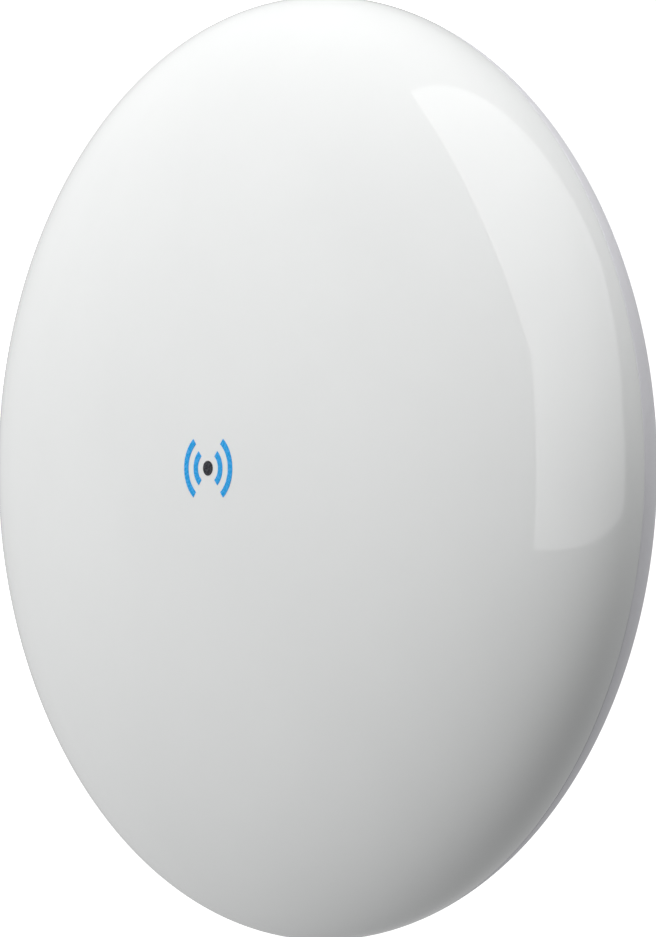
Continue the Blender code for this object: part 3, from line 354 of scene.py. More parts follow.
# ---------------------------------------------------------------- finishes
class Nodes:
    """A short way to wire one material's nodes."""

    def __init__(self, name):
        self.material = bpy.data.materials.new(name)
        self.material.use_nodes = True
        self.tree = self.material.node_tree
        self.shader = self.tree.nodes["Principled BSDF"]
        self.place = self.tree.nodes.new("ShaderNodeTexCoord").outputs["Object"]

    def link(self, value, socket):
        if isinstance(value, bpy.types.NodeSocket):
            self.tree.links.new(value, socket)
        else:
            socket.default_value = value

    def noise(self, scale, detail=3.0, roughness=0.5, place=None):
        node = self.tree.nodes.new("ShaderNodeTexNoise")
        node.inputs["Scale"].default_value = scale
        node.inputs["Detail"].default_value = detail
        node.inputs["Roughness"].default_value = roughness
        self.tree.links.new(place or self.place, node.inputs["Vector"])
        return node.outputs["Fac"]

    def cells(self, scale, place=None, output="Distance"):
        node = self.tree.nodes.new("ShaderNodeTexVoronoi")
        node.inputs["Scale"].default_value = scale
        self.tree.links.new(place or self.place, node.inputs["Vector"])
        return node.outputs[output]

    def stretched(self, scale, rotation=(0, 0, 0)):
        node = self.tree.nodes.new("ShaderNodeMapping")
        node.inputs["Scale"].default_value = scale
        node.inputs["Rotation"].default_value = rotation
        self.tree.links.new(self.place, node.inputs["Vector"])
        return node.outputs["Vector"]

    def math(self, operation, first, second=0.0):
        node = self.tree.nodes.new("ShaderNodeMath")
        node.operation = operation
        for value, socket in zip((first, second), node.inputs):
            self.link(value, socket)
        return node.outputs["Value"]

    def ranged(self, value, low_in, high_in, low_out, high_out):
        node = self.tree.nodes.new("ShaderNodeMapRange")
        self.link(value, node.inputs["Value"])
        node.inputs["From Min"].default_value = low_in
        node.inputs["From Max"].default_value = high_in
        node.inputs["To Min"].default_value = low_out
        node.inputs["To Max"].default_value = high_out
        return node.outputs["Result"]

    def parts(self):
        node = self.tree.nodes.new("ShaderNodeSeparateXYZ")
        self.tree.links.new(self.place, node.inputs["Vector"])
        return node.outputs

    def from_axis(self):
        """Distance from the antenna's axis: the root of x squared plus z squared."""
        x, _, z = self.parts()
        return self.math("SQRT", self.math("ADD", self.math("MULTIPLY", x, x), self.math("MULTIPLY", z, z)))

    def joined(self, x, y, z):
        node = self.tree.nodes.new("ShaderNodeCombineXYZ")
        for value, socket in zip((x, y, z), node.inputs):
            self.link(value, socket)
        return node.outputs["Vector"]

    def mixed(self, share, first, second):
        node = self.tree.nodes.new("ShaderNodeMix")
        node.data_type = "RGBA"
        self.link(share, node.inputs["Factor"])
        colour_inputs = [socket for socket in node.inputs if socket.type == "RGBA"]
        for value, socket in zip((first, second), colour_inputs):
            self.link(value if isinstance(value, bpy.types.NodeSocket) else (*value, 1), socket)
        return [socket for socket in node.outputs if socket.type == "RGBA"][0]

    def bump(self, height, distance, strength):
        node = self.tree.nodes.new("ShaderNodeBump")
        node.inputs["Distance"].default_value = distance
        node.inputs["Strength"].default_value = strength
        self.link(height, node.inputs["Height"])
        return node.outputs["Normal"]

    def done(self, colour=None, roughness=None, metallic=None, normal=None, **fixed):
        named = {"Base Color": colour, "Roughness": roughness, "Metallic": metallic, "Normal": normal}
        for socket, value in named.items():
            if value is None:
                continue
            if socket == "Base Color" and not isinstance(value, bpy.types.NodeSocket):
                value = (*value, 1)
            self.link(value, self.shader.inputs[socket])
        for socket, value in fixed.items():
            self.shader.inputs[socket.replace("_", " ")].default_value = value
        return self.material


def scaled(colour, factor):
    return tuple(min(channel * factor, 1.0) for channel in colour)


def gloss_plastic(name, colour):
    """Moulded gloss: a trace of orange peel, faint haze patches and a slightly darker dusting."""
    n = Nodes(name)
    haze = n.noise(26, 4, 0.55)
    peel = n.noise(260, 2, 0.45)
    dust = n.ranged(n.noise(2200, 2, 0.6), 0.62, 0.8, 0, 0.05)
    tone = n.mixed(n.ranged(haze, 0.3, 0.7, 0, 1), scaled(colour, 0.985), scaled(colour, 1.01))
    tone = n.mixed(dust, tone, scaled(colour, 0.6))
    rough = n.ranged(haze, 0.3, 0.7, 0.018, 0.035)
    return n.done(tone, rough, normal=n.bump(peel, 0.000005, 0.2), IOR=1.5)


def satin_plastic(name, colour, grain, rough):
    """Moulded satin: fine spark-eroded grain, cloudy tone and slightly polished high spots."""
    n = Nodes(name)
    grains = n.noise(grain, 3, 0.6)
    cloud = n.noise(35, 4, 0.55)
    tone = n.mixed(n.ranged(cloud, 0.3, 0.7, 0, 1), scaled(colour, 0.96), scaled(colour, 1.02))
    tone = n.mixed(n.ranged(grains, 0.55, 0.8, 0, 0.12), tone, scaled(colour, 0.75))
    wear = n.math("ADD", n.math("MULTIPLY", cloud, 0.5), grains)
    dull = n.ranged(wear, 0.5, 1.1, rough - 0.06, rough + 0.08)
    return n.done(tone, dull, normal=n.bump(grains, 0.00004, 0.35), IOR=1.5)


def filled_plastic(name, colour):
    """Glass-filled grey: coarse grain with pale fibre flecks that run every way."""
    n = Nodes(name)
    grains = n.noise(1500, 4, 0.65)
    fibres = n.cells(900, n.stretched((1, 1, 5), (0.4, 0.7, 0.2)))
    cloud = n.noise(45, 3, 0.5)
    tone = n.mixed(n.ranged(cloud, 0.3, 0.7, 0, 1), scaled(colour, 0.88), scaled(colour, 1.12))
    tone = n.mixed(n.ranged(fibres, 0.0, 0.22, 0.35, 0.0), tone, scaled(colour, 1.9))
    rough = n.ranged(grains, 0.3, 0.7, 0.42, 0.62)
    return n.done(tone, rough, normal=n.bump(grains, 0.00008, 0.5), IOR=1.52)


def rubber(name, colour=(0.022, 0.022, 0.023)):
    """Black rubber: fine matt grain with a grey bloom in patches."""
    n = Nodes(name)
    grains = n.noise(1800, 4, 0.7)
    bloom = n.noise(120, 4, 0.6)
    tone = n.mixed(n.ranged(bloom, 0.45, 0.75, 0, 0.35), colour, (0.075, 0.075, 0.078))
    rough = n.ranged(grains, 0.3, 0.7, 0.62, 0.85)
    return n.done(tone, rough, normal=n.bump(grains, 0.00005, 0.5))


def turned_metal(name, colour, pitch=0.0004, rough=0.24):
    """Lathe lines: noise stretched into rings by the distance from the axis and the place along it."""
    n = Nodes(name)
    _, along, _ = n.parts()
    rings = n.joined(n.math("DIVIDE", n.from_axis(), pitch), n.math("DIVIDE", along, pitch), 0.0)
    lines = n.noise(1.0, 2, 0.5, rings)
    stain = n.noise(60, 5, 0.6)
    tone = n.mixed(n.ranged(stain, 0.35, 0.75, 0, 0.7), colour, scaled(colour, 0.78))
    tone = n.mixed(n.ranged(lines, 0.4, 0.7, 0, 0.25), tone, scaled(colour, 1.12))
    dull_lines = n.ranged(lines, 0.3, 0.7, rough - 0.06, rough + 0.08)
    level = n.math("ADD", n.math("MULTIPLY", stain, 0.14), dull_lines)
    return n.done(tone, level, 1.0, n.bump(lines, 0.00001, 0.4))


def zinc_plate(name, colour=(0.60, 0.61, 0.63)):
    """Bright zinc: small crystals, a faint straw and blue cast, and handling marks."""
    n = Nodes(name)
    crystal = n.cells(1400, output="Color")
    grey = n.tree.nodes.new("ShaderNodeRGBToBW")
    n.tree.links.new(crystal, grey.inputs["Color"])
    cast = n.noise(90, 3, 0.5)
    tone = n.mixed(n.ranged(cast, 0.35, 0.65, 0, 1), scaled(colour, 0.94), (0.58, 0.61, 0.68))
    tone = n.mixed(n.ranged(n.noise(160, 4, 0.6), 0.55, 0.8, 0, 0.5), tone, (0.62, 0.57, 0.44))
    rough = n.math("ADD", n.ranged(grey.outputs["Val"], 0, 1, 0.20, 0.33), n.ranged(cast, 0.3, 0.7, 0, 0.05))
    return n.done(tone, rough, 1.0, n.bump(n.noise(900, 3, 0.5), 0.00001, 0.35))


def sheet_metal(name, colour=(0.70, 0.71, 0.72)):
    """Rolled sheet: long fine scratches along one way, with small dull patches."""
    n = Nodes(name)
    roll = n.noise(60, 6, 0.7, n.stretched((30, 30, 1)))
    patch = n.noise(140, 4, 0.6)
    tone = n.mixed(n.ranged(roll, 0.3, 0.7, 0, 1), scaled(colour, 0.86), scaled(colour, 1.08))
    rough = n.math("ADD", n.ranged(roll, 0.3, 0.7, 0.22, 0.40), n.ranged(patch, 0.5, 0.8, 0, 0.12))
    return n.done(tone, rough, 1.0, n.bump(roll, 0.00001, 0.4))


def natural_plastic(name, colour=(0.70, 0.66, 0.55)):
    """Undyed slippery plastic: cloudy cream, slightly waxy."""
    n = Nodes(name)
    cloud = n.noise(80, 4, 0.6)
    tone = n.mixed(n.ranged(cloud, 0.3, 0.7, 0, 1), scaled(colour, 0.92), scaled(colour, 1.05))
    grain = n.noise(1900, 2, 0.5)
    return n.done(
        tone,
        n.ranged(grain, 0.3, 0.7, 0.30, 0.46),
        normal=n.bump(grain, 0.00003, 0.4),
        Subsurface_Weight=0.08,
    )


def board_laminate(name):
    """Solder mask over straight tracks: a grid of stripes seen as a darker, higher green, with bare pads."""
    n = Nodes(name)
    x, _, z = n.parts()
    across = n.math("PINGPONG", n.math("ADD", x, n.math("MULTIPLY", n.noise(160, 0), 0.003)), 0.0011)
    upward = n.math("PINGPONG", n.math("ADD", z, n.math("MULTIPLY", n.noise(90, 0), 0.004)), 0.0016)
    tracks = n.math("MAXIMUM", n.ranged(across, 0.0003, 0.0004, 1, 0), n.ranged(upward, 0.0003, 0.0004, 1, 0))
    where = n.ranged(n.noise(70, 1), 0.45, 0.5, 0, 1)
    tracks = n.math("MULTIPLY", tracks, where)
    pads = n.ranged(n.cells(420), 0.16, 0.19, 1, 0)
    tone = n.mixed(tracks, (0.012, 0.085, 0.045), (0.03, 0.17, 0.08))
    tone = n.mixed(pads, tone, (0.72, 0.62, 0.36))
    rough = n.ranged(n.noise(800, 3), 0.3, 0.7, 0.24, 0.36)
    height = n.math("ADD", tracks, pads)
    return n.done(tone, rough, n.math("MULTIPLY", pads, 0.9), n.bump(height, 0.00003, 0.6), Coat_Weight=0.2)


def moulded_epoxy(name, colour=(0.028, 0.028, 0.031)):
    """Chip packages: matt black grain with greasy smears."""
    n = Nodes(name)
    grain = n.noise(2600, 3, 0.65)
    smear = n.noise(200, 3, 0.5)
    tone = n.mixed(n.ranged(smear, 0.4, 0.7, 0, 1), colour, scaled(colour, 1.7))
    return n.done(tone, n.ranged(grain, 0.3, 0.7, 0.46, 0.66), normal=n.bump(grain, 0.00004, 0.5))


def clear_pipe(name):
    """Clear light pipes: half transparent, with a haze inside."""
    n = Nodes(name)
    haze = n.noise(900, 3, 0.6)
    tone = n.mixed(n.ranged(haze, 0.4, 0.7, 0, 1), (0.80, 0.88, 0.93), (0.68, 0.78, 0.85))
    return n.done(
        tone,
        n.ranged(haze, 0.3, 0.7, 0.05, 0.16),
        normal=n.bump(haze, 0.00001, 0.3),
        Transmission_Weight=0.55,
        IOR=1.49,
    )


def print_ink(name, colour):
    """A pad-printed ink: nearly even, with pinholes and a softly uneven film."""
    n = Nodes(name)
    film = n.noise(1600, 3, 0.6)
    tone = n.mixed(n.ranged(film, 0.35, 0.7, 0, 1), scaled(colour, 0.94), scaled(colour, 1.06))
    return n.done(tone, n.ranged(film, 0.3, 0.7, 0.22, 0.32), normal=n.bump(film, 0.000005, 0.3))


def studio_paper(name, colour, glow):
    """The floor's and wall's paper, which glows enough to stay white in every view."""
    n = Nodes(name)
    tone = n.mixed(n.ranged(n.noise(3, 2), 0.3, 0.7, 0, 1), scaled(colour, 0.995), colour)
    return n.done(tone, 0.9, Emission_Color=(1, 1, 1, 1), Emission_Strength=glow)


class ANTENNA_OT_finishes(bpy.types.Operator):
    """Make every finish the pieces use"""

    bl_idname = "antenna.finishes"
    bl_label = "Finishes"

    def execute(self, context):
        tint = colours()
        gloss_plastic("dome_gloss", tuple(tint.dome))
        satin_plastic("bowl_satin", tuple(tint.bowl), 2600, 0.40)
        satin_plastic("nut_satin", tuple(tint.bowl), 2200, 0.44)
        filled_plastic("bracket_grey", tuple(tint.bracket))
        filled_plastic("fitting_grey", scaled(tuple(tint.bracket), 1.25))
        rubber("seal_rubber")
        turned_metal("spun_aluminium", (0.74, 0.75, 0.77), 0.0006, 0.28)
        turned_metal("turned_brass", (0.72, 0.53, 0.24), 0.0003, 0.26)
        zinc_plate("zinc_plate")
        sheet_metal("tinned_sheet")
        turned_metal("contact_gold", (0.83, 0.62, 0.24), 0.0005, 0.2)
        natural_plastic("natural_plastic")
        board_laminate("board_laminate")
        moulded_epoxy("chip_epoxy")
        clear_pipe("clear_pipe")
        print_ink("ink_blue", tuple(tint.wave_blue))
        print_ink("ink_dark", tuple(tint.wave_dark))
        return {"FINISHED"}


# ---------------------------------------------------------------- dome and mark
def dome_behind(x, z, proud=0.0):
    """The dome's outside as a height: minus its height times the root of one less the radius squared over
    the rim radius squared, moved forward by proud."""
    flat = np.clip(1 - (x**2 + z**2) / RIM_RADIUS**2, 0, 1)
    return -DOME_HEIGHT * np.sqrt(flat) - proud


def bowl_behind(x, z):
    """The bowl's outside as a height behind the rim plane, by the same oval with the bowl's depth."""
    flat = np.clip(1 - (x**2 + z**2) / RIM_RADIUS**2, 0, 1)
    return sizes().bowl_depth * np.sqrt(flat)


class ANTENNA_OT_radome(bpy.types.Operator):
    """Make the glossy dome: an oval turned round the axis, with its wall and its rounded seam edge"""

    bl_idname = "antenna.radome"
    bl_label = "Radome"

    def execute(self, context):
        s = sizes()
        inner = RIM_RADIUS - s.dome_wall
        seam_angle = math.degrees(math.asin(SEAM / s.bowl_depth))
        outside = oval(RIM_RADIUS, -DOME_HEIGHT, 90, 0, 84)
        skirt = oval(RIM_RADIUS, s.bowl_depth, 0, seam_angle, 5)[1:]
        edge = softened([skirt[-2], skirt[-1], (inner, SEAM), (inner, 0)], s.seam_rounding / 2, 6, False)
        inside = oval(inner, s.dome_wall - DOME_HEIGHT, 0, 90, 44)
        profile = np.concatenate([outside, skirt[:-2], edge[:-1], inside])
        dome = loose("radome_fine", [(turned(profile, s.round_steps), False, True)])
        finish_piece(dome, "head", "dome_gloss", "radome")
        return {"FINISHED"}


def wave(name, radius, width, middle, sweep, material):
    """A printed arc: a low rounded band carried round the dome's axis from one angle to another, each point
    lying on the dome and lifted by its own place in the band."""
    s = sizes()
    turn = np.radians(span(middle - sweep, middle + sweep, 64))[None, :]
    round_band = span(0, 2 * np.pi, 21)[:-1][:, None]
    across = np.sign(np.cos(round_band)) * np.abs(np.cos(round_band)) ** 0.35 * width / 2
    lift = s.mark_print * (0.55 + 0.45 * np.sin(round_band))
    reach = np.maximum(radius + across, 0.0)
    x, z = reach * np.cos(turn), reach * np.sin(turn)
    y = RIM_Y + dome_behind(x, z, lift)
    piece = loose(name, [(np.stack([x, y, z], -1), True, False)])
    return finish_piece(piece, "head", material, angle=60)


class ANTENNA_OT_mark(bpy.types.Operator):
    """Print a plain wave mark at the middle of the dome: a dot with two arcs on each side"""

    bl_idname = "antenna.mark"
    bl_label = "Wave mark"

    def execute(self, context):
        s = sizes()
        width = 0.19 * s.mark_radius
        outer = s.mark_radius - width / 2
        inner = 0.60 * s.mark_radius - width / 2
        for side, middle in (("right", 0), ("left", 180)):
            wave(f"mark_{side}_outer", outer, width, middle, 52, "ink_blue")
            wave(f"mark_{side}_inner", inner, width, middle, 50, "ink_blue")
        dot = 0.20 * s.mark_radius
        across = np.concatenate([span(0, 1, 12), span(1, 0, 12)])
        lift = np.concatenate([np.full(12, 1.0), np.full(12, 0.1)]) * s.mark_print
        turn = span(0, 2 * np.pi, 73)[:-1]
        x, z = across[:, None] * dot * np.cos(turn), across[:, None] * dot * np.sin(turn)
        y = RIM_Y + dome_behind(x, z, lift[:, None])
        centre = loose("mark_dot", [(np.stack([x, y, z], -1), False, True)])
        finish_piece(centre, "head", "ink_dark", angle=60)
        return {"FINISHED"}


# ---------------------------------------------------------------- rear shell
def bowl_profile():
    """The bowl's section: flat boss, oval outside, rounded seam edge, tongue, and the inner oval."""
    s = sizes()
    inside = TONGUE_RADIUS - TONGUE_WALL
    boss = math.degrees(math.acos(s.boss_radius / RIM_RADIUS))
    lip = SEAM + s.seam_gap
    edge = math.degrees(math.asin(lip / s.bowl_depth))
    boss_behind = s.bowl_depth * math.sin(math.radians(boss))
    outside = oval(RIM_RADIUS, s.bowl_depth, boss, edge, 72)
    hole = high("socket_collar").x - COLLAR_FLANGE_WIDTH + GAP
    rim = [outside[-2], outside[-1], (TONGUE_RADIUS, lip), (TONGUE_RADIUS, -TONGUE_LENGTH)]
    rim = softened(rim + [(inside, -TONGUE_LENGTH), (inside, 0)], s.seam_rounding, 5, False)
    hollow = oval(inside, s.bowl_depth - s.bowl_wall, 0, 90, 40)
    seat = boss_behind - s.bowl_wall
    hollow = hollow[hollow[:, 1] < seat - 0.0002]
    step_in, step_out = 0.9 * hollow[-1][0], 0.9 * s.boss_radius
    collar = [(step_in, seat), (hole, seat), (hole, boss_behind), (step_out, boss_behind)]
    return np.concatenate([collar, outside[:-2], rim[:-1], hollow]), boss_behind


class ANTENNA_OT_rear_shell(bpy.types.Operator):
    """Make the rear bowl with its pod, cable pocket, boss and holes"""

    bl_idname = "antenna.rear_shell"
    bl_label = "Rear shell"

    def execute(self, context):
        s = sizes()
        wall, wide = s.pod_wall, 2 * POD_HALF_WIDTH
        profile, boss = bowl_profile()
        bowl = loose("rear_shell_fine", [(turned(profile, s.round_steps), True, True)])

        # the pod: a rounded block above the split, hollowed, with the round well for the nut
        well, well_wall = 0.0225, 0.0245
        low_corner = (-POD_HALF_WIDTH, POD_AHEAD, POD_BOTTOM)
        high_corner = (POD_HALF_WIDTH, POD_REAR, POD_TOP)
        pod = loose("pod", [(block(low_corner, high_corner, s.pod_rounding, 8), False, True)])
        below = block((-wide, FAR_AHEAD, 2 * POD_BOTTOM), (wide, FAR_BEHIND, SPLIT_Z), 1e-4, 2)
        below = loose("below", [(below, False, True)])
        mid_wall = RIM_RADIUS - s.bowl_wall / 2
        core = oval(mid_wall, s.bowl_depth - s.bowl_wall / 2, 90, 0, 40)
        core = np.concatenate([core, [(mid_wall, FAR_AHEAD), (0, FAR_AHEAD)]])
        core = loose("core", [(turned(core, 180), False, True)])
        combine(pod, [below, tube("well", (0, 0), well, boss - 0.0002, FAR_BEHIND, 160), core])
        combine(bowl, [pod], "UNION")
        inner = POD_HALF_WIDTH - wall
        cavity_corners = ((-inner, 0.010, SPLIT_Z + wall), (inner, POD_REAR - wall, POD_TOP - 0.008))
        cavity = loose("cavity", [(block(*cavity_corners, 0.0015, 4), False, True)])
        combine(cavity, [tube("well_wall", (0, 0), well_wall, boss - s.bowl_wall + GAP, FAR_BEHIND, 160)])
        combine(bowl, [cavity])

        # the cable pocket below the split, open behind
        pocket_half = 0.0163
        pocket_floor = JACK_FRONT - 0.0029
        far = float(bowl_behind(np.array(pocket_half + wall), np.array(POD_BOTTOM))) - GAP
        walls = block(
            (-pocket_half - wall, pocket_floor - wall, POD_BOTTOM),
            (pocket_half + wall, far, SPLIT_Z + wall / 2),
            0.0006,
            3,
        )
        combine(bowl, [loose("pocket_walls", [(walls, False, True)])], "UNION")
        pocket = block(
            (-pocket_half, pocket_floor, POD_BOTTOM + wall),
            (pocket_half, POD_REAR - wall, SPLIT_Z + GAP),
            0.0012,
            4,
        )
        window = block(
            (low("ethernet_jack").x - GAP, JACK_FRONT - GAP, SPLIT_Z - wall),
            (high("ethernet_jack").x + GAP, JACK_REAR + GAP, SPLIT_Z + 2 * wall),
            0.0004,
            3,
        )
        button_hole, vent_hole, light_hole, vent_boss = 0.0018, 0.0022, 0.0015, 0.0052
        under_wall, over_wall = SPLIT_Z - wall, SPLIT_Z + 2 * wall
        cuts = [
            loose("pocket", [(pocket, False, True)]),
            loose("window", [(window, False, True)]),
            tube("button", (BUTTON_X, RIM_Y + BUTTON_BEHIND), button_hole, under_wall, over_wall, 32, "Z"),
            tube("vent", (0, VENT_Z), vent_hole, 0, FAR_BEHIND, 32),
        ]
        for number in range(1, 7):
            at = (high(f"light_pipe_{number}") + low(f"light_pipe_{number}")) / 2
            cuts.append(tube(f"light_{number}", (at.x, at.z), light_hole, boss, FAR_BEHIND, 32))
        boss_pad = [tube("vent_boss", (0, VENT_Z), vent_boss, boss - 2 * s.bowl_wall, boss + 0.00005, 64)]
        combine(bowl, boss_pad, "UNION")
        combine(bowl, cuts)
        finish_piece(bowl, "head", "bowl_satin", "rear_shell", angle=28)

        # the blend between the pod's two sides and the bowl: a quarter circle that grows from the top down,
        # with its back edge sunk into both
        strips = []
        z = span(-0.0115, SPLIT_Z + 0.0001, 48)[None, :]
        turn = np.radians(span(0, 90, 14))[:, None]
        grow = s.pod_fillet * np.clip((-0.0085 - z) / 0.010, 0.12, 1)
        sunk = np.full((1, z.size), -0.0004)
        out = np.vstack([grow * (1 - np.cos(turn)), sunk])
        rise = np.vstack([grow * (1 - np.sin(turn)), sunk])
        for side in (-1, 1):
            x = side * (POD_HALF_WIDTH - 0.00002 + out)
            y = RIM_Y + bowl_behind(x, z + 0 * x) + rise - 0.00002
            strips.append((np.stack([x, y, z + 0 * x], -1), True, False))
        fillet = loose("pod_fillet", strips)
        finish_piece(fillet, "head", "bowl_satin", angle=50)
        return {"FINISHED"}


class ANTENNA_OT_port_cover(bpy.types.Operator):
    """Make the sliding port cover with its thumb ridges and grommet hole"""

    bl_idname = "antenna.port_cover"
    bl_label = "Port cover"

    def execute(self, context):
        s = sizes()
        wall, wide = s.pod_wall, 2 * POD_HALF_WIDTH
        corners = ((-POD_HALF_WIDTH, POD_AHEAD, POD_BOTTOM), (POD_HALF_WIDTH, POD_REAR, POD_TOP))
        cover = loose("port_cover_fine", [(block(*corners, s.pod_rounding, 8), False, True)])
        above = block((-wide, FAR_AHEAD, SPLIT_Z - GAP), (wide, FAR_BEHIND, FAR_BEHIND), 1e-4, 2)
        fit = oval(RIM_RADIUS + GAP, s.bowl_depth + GAP, 90, 0, 60)
        fit = np.concatenate([fit, [(RIM_RADIUS + GAP, FAR_AHEAD), (0, FAR_AHEAD)]])
        inner = POD_HALF_WIDTH - wall
        room = block((-inner, 0, POD_BOTTOM + wall), (inner, POD_REAR - wall, SPLIT_Z + wall), 0.0022, 6)
        under, over = POD_BOTTOM - wall, POD_BOTTOM + 2 * wall
        cuts = [loose("above", [(above, False, True)])]
        cuts.append(loose("fit", [(turned(fit, 240), False, True)]))
        cuts.append(loose("room", [(room, False, True)]))
        cuts.append(tube("outlet", (0, RIM_Y + GROMMET_BEHIND), OUTLET_RADIUS, under, over, 64, "Z"))
        combine(cover, cuts)
        half_width, half_height, spacing = 0.007, 0.0005, 0.003
        ridges = []
        for step in range(3):
            z = POD_BOTTOM + s.pod_rounding + spacing * (step + 1)
            sunk_corner = (-half_width, POD_REAR - 0.0008, z - half_height)
            proud_corner = (half_width, POD_REAR + 0.0007, z + half_height)
            ridge = block(sunk_corner, proud_corner, 0.00045, 4)
            ridges.append(loose(f"ridge_{step}", [(ridge, False, True)]))
        combine(cover, ridges, "UNION")
        finish_piece(cover, "port_cover", "bowl_satin", "port_cover", angle=28)
        return {"FINISHED"}


class ANTENNA_OT_fittings(bpy.types.Operator):
    """Make the vent plug, light pipes, grommet and reset button"""

    bl_idname = "antenna.fittings"
    bl_label = "Fittings"

    def execute(self, context):
        lower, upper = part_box("vent_plug")
        head, inner = behind_of(upper.y), behind_of(lower.y)
        cap, stem, cap_front = upper.x, 0.0019, head - 0.0012
        corners = [(0, inner), (stem, inner), (stem, cap_front), (cap, cap_front)]
        corners += [(cap, head - 0.0005), (0.72 * cap, head), (0, head)]
        profile = softened(corners, 0.0003, 5, False)
        grid = turned(profile, 144, (0, VENT_Z))
        turn = span(0, 2 * np.pi, 145)[:-1]
        notch = 1 - 0.10 * np.clip(np.cos(8 * turn), 0, 1) ** 6 * (profile[:, :1] > 0.0025)
        grid[..., 0] *= notch
        grid[..., 2] = VENT_Z + (grid[..., 2] - VENT_Z) * notch
        plug = loose("vent_plug_fine", [(grid, False, True)])
        finish_piece(plug, "head", "fitting_grey", "vent_plug", angle=40)

        for number in range(1, 7):
            name = f"light_pipe_{number}"
            lower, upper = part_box(name)
            radius = (upper.x - lower.x) / 2
            middle = ((upper.x + lower.x) / 2, (upper.z + lower.z) / 2)
            first, last = behind_of(lower.y), behind_of(upper.y)
            dome = oval(radius, 0.0005, 0, 90, 10) + [0, last - 0.0005]
            shape = np.concatenate([[(0, first), (radius, first)], dome])
            pipe = loose(name + "_fine", [(turned(shape, 40, middle), False, True)])
            finish_piece(pipe, "head", "clear_pipe", name, angle=40)

        lower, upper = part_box("cable_grommet")
        flange = (upper.x - lower.x) / 2
        cable_hole, stem, flange_height = 0.0032, OUTLET_RADIUS - GAP, 0.0009
        groove_foot, groove_top = lower.z + flange_height, upper.z - flange_height
        half_section = [(cable_hole, lower.z), (flange, lower.z), (flange, groove_foot), (stem, groove_foot)]
        half_section += [(stem, groove_top), (flange, groove_top), (flange, upper.z), (cable_hole, upper.z)]
        section = softened(half_section, 0.00035, 5)
        grommet = loose("grommet_fine", [(turned(section, 96, (0, RIM_Y + GROMMET_BEHIND), "Z"), True, True)])
        finish_piece(grommet, "port_cover", "seal_rubber", "cable_grommet", angle=45)

        lower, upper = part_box("reset_button")
        flange, stem = (upper.x - lower.x) / 2, 0.0015
        foot = SPLIT_Z + sizes().pod_wall + GAP
        top = foot + 0.001
        corners = [(0, lower.z), (stem, lower.z), (stem, foot), (flange, foot)]
        corners += [(flange, top), (stem, top), (stem, upper.z), (0, upper.z)]
        section = softened(corners, 0.0002, 4, False)
        grid = turned(section, 48, (BUTTON_X, RIM_Y + BUTTON_BEHIND), "Z")
        button = loose("reset_button_fine", [(grid, False, True)])
        finish_piece(button, "reset_button", "fitting_grey", "reset_button", angle=40)
        return {"FINISHED"}


class ANTENNA_OT_jack(bpy.types.Operator):
    """Make the network jack: a folded can with its stepped mouth, and eight spring contacts"""

    bl_idname = "antenna.jack"
    bl_label = "Network jack"

    def execute(self, context):
        lower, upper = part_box("ethernet_jack")
        front, rear = behind_of(lower.y), behind_of(upper.y)
        body = block((lower.x, front, lower.z), (upper.x, rear, upper.z), 0.0004, 4)
        can = loose("jack_fine", [(body, False, True)])
        lip, mouth_height, mouth_depth, latch_height = 0.0017, 0.0070, 0.015, 0.0022
        mouth_half, latch_half = 0.0059, 0.003
        floor, top, outside = front + lip, lower.z + mouth_depth, lower.z - 0.002
        step = floor + mouth_height
        mouth = block((-mouth_half, floor, outside), (mouth_half, step, top), 0.0002, 3)
        latch_corner = (latch_half, step + latch_height, top)
        latch = block((-latch_half, floor + 0.002, outside), latch_corner, 0.0002, 3)
        combine(can, [loose("mouth", [(mouth, False, True)]), loose("latch", [(latch, False, True)])])
        finish_piece(can, "head", "tinned_sheet", "ethernet_jack", angle=30)

        # each contact: a thin round wire carried along a quarter of a sine
        wire_radius, spacing, reach, rise = 0.00021, 0.00102, 0.0085, 0.0021
        along = span(0, 1, 24)
        around = span(0, 2 * np.pi, 9)[:-1]
        ring = np.stack([np.cos(around), np.sin(around), 0 * around], -1) * wire_radius
        y = RIM_Y + floor + 0.0005 + rise * np.sin(np.pi * 0.5 * along)
        z = top - 0.0004 - reach * along
        wires = []
        for number in range(8):
            path = np.stack([(number - 3.5) * spacing + 0 * along, y, z], -1)
            wires.append((path[:, None, :] + ring[None], False, True))
        finish_piece(loose("jack_contacts", wires), "head", "contact_gold", angle=50)
        return {"FINISHED"}


# ---------------------------------------------------------------- ball joint
def threaded(first, last, radius, depth, pitch, steps, rows):
    """A helical thread as a grid: the radius drops by the depth times a triangle wave of the place along the
    axis over the pitch, less the turn, and runs out to the full drop at both ends."""
    turn = span(0, 2 * np.pi, steps + 1)[:-1][None, :]
    along = span(first, last, rows)[:, None]
    phase = along / pitch - turn / (2 * np.pi)
    wave_height = np.abs(2 * (phase - np.floor(phase)) - 1)
    wave_height = np.clip(1.35 * wave_height - 0.15, 0, 1)
    ends = np.clip(np.minimum(along - first, last - along) / pitch, 0, 1)
    reach = radius - depth * (1 - (1 - wave_height) * ends)
    return np.stack([reach * np.cos(turn), RIM_Y + along + 0 * turn, reach * np.sin(turn)], -1)


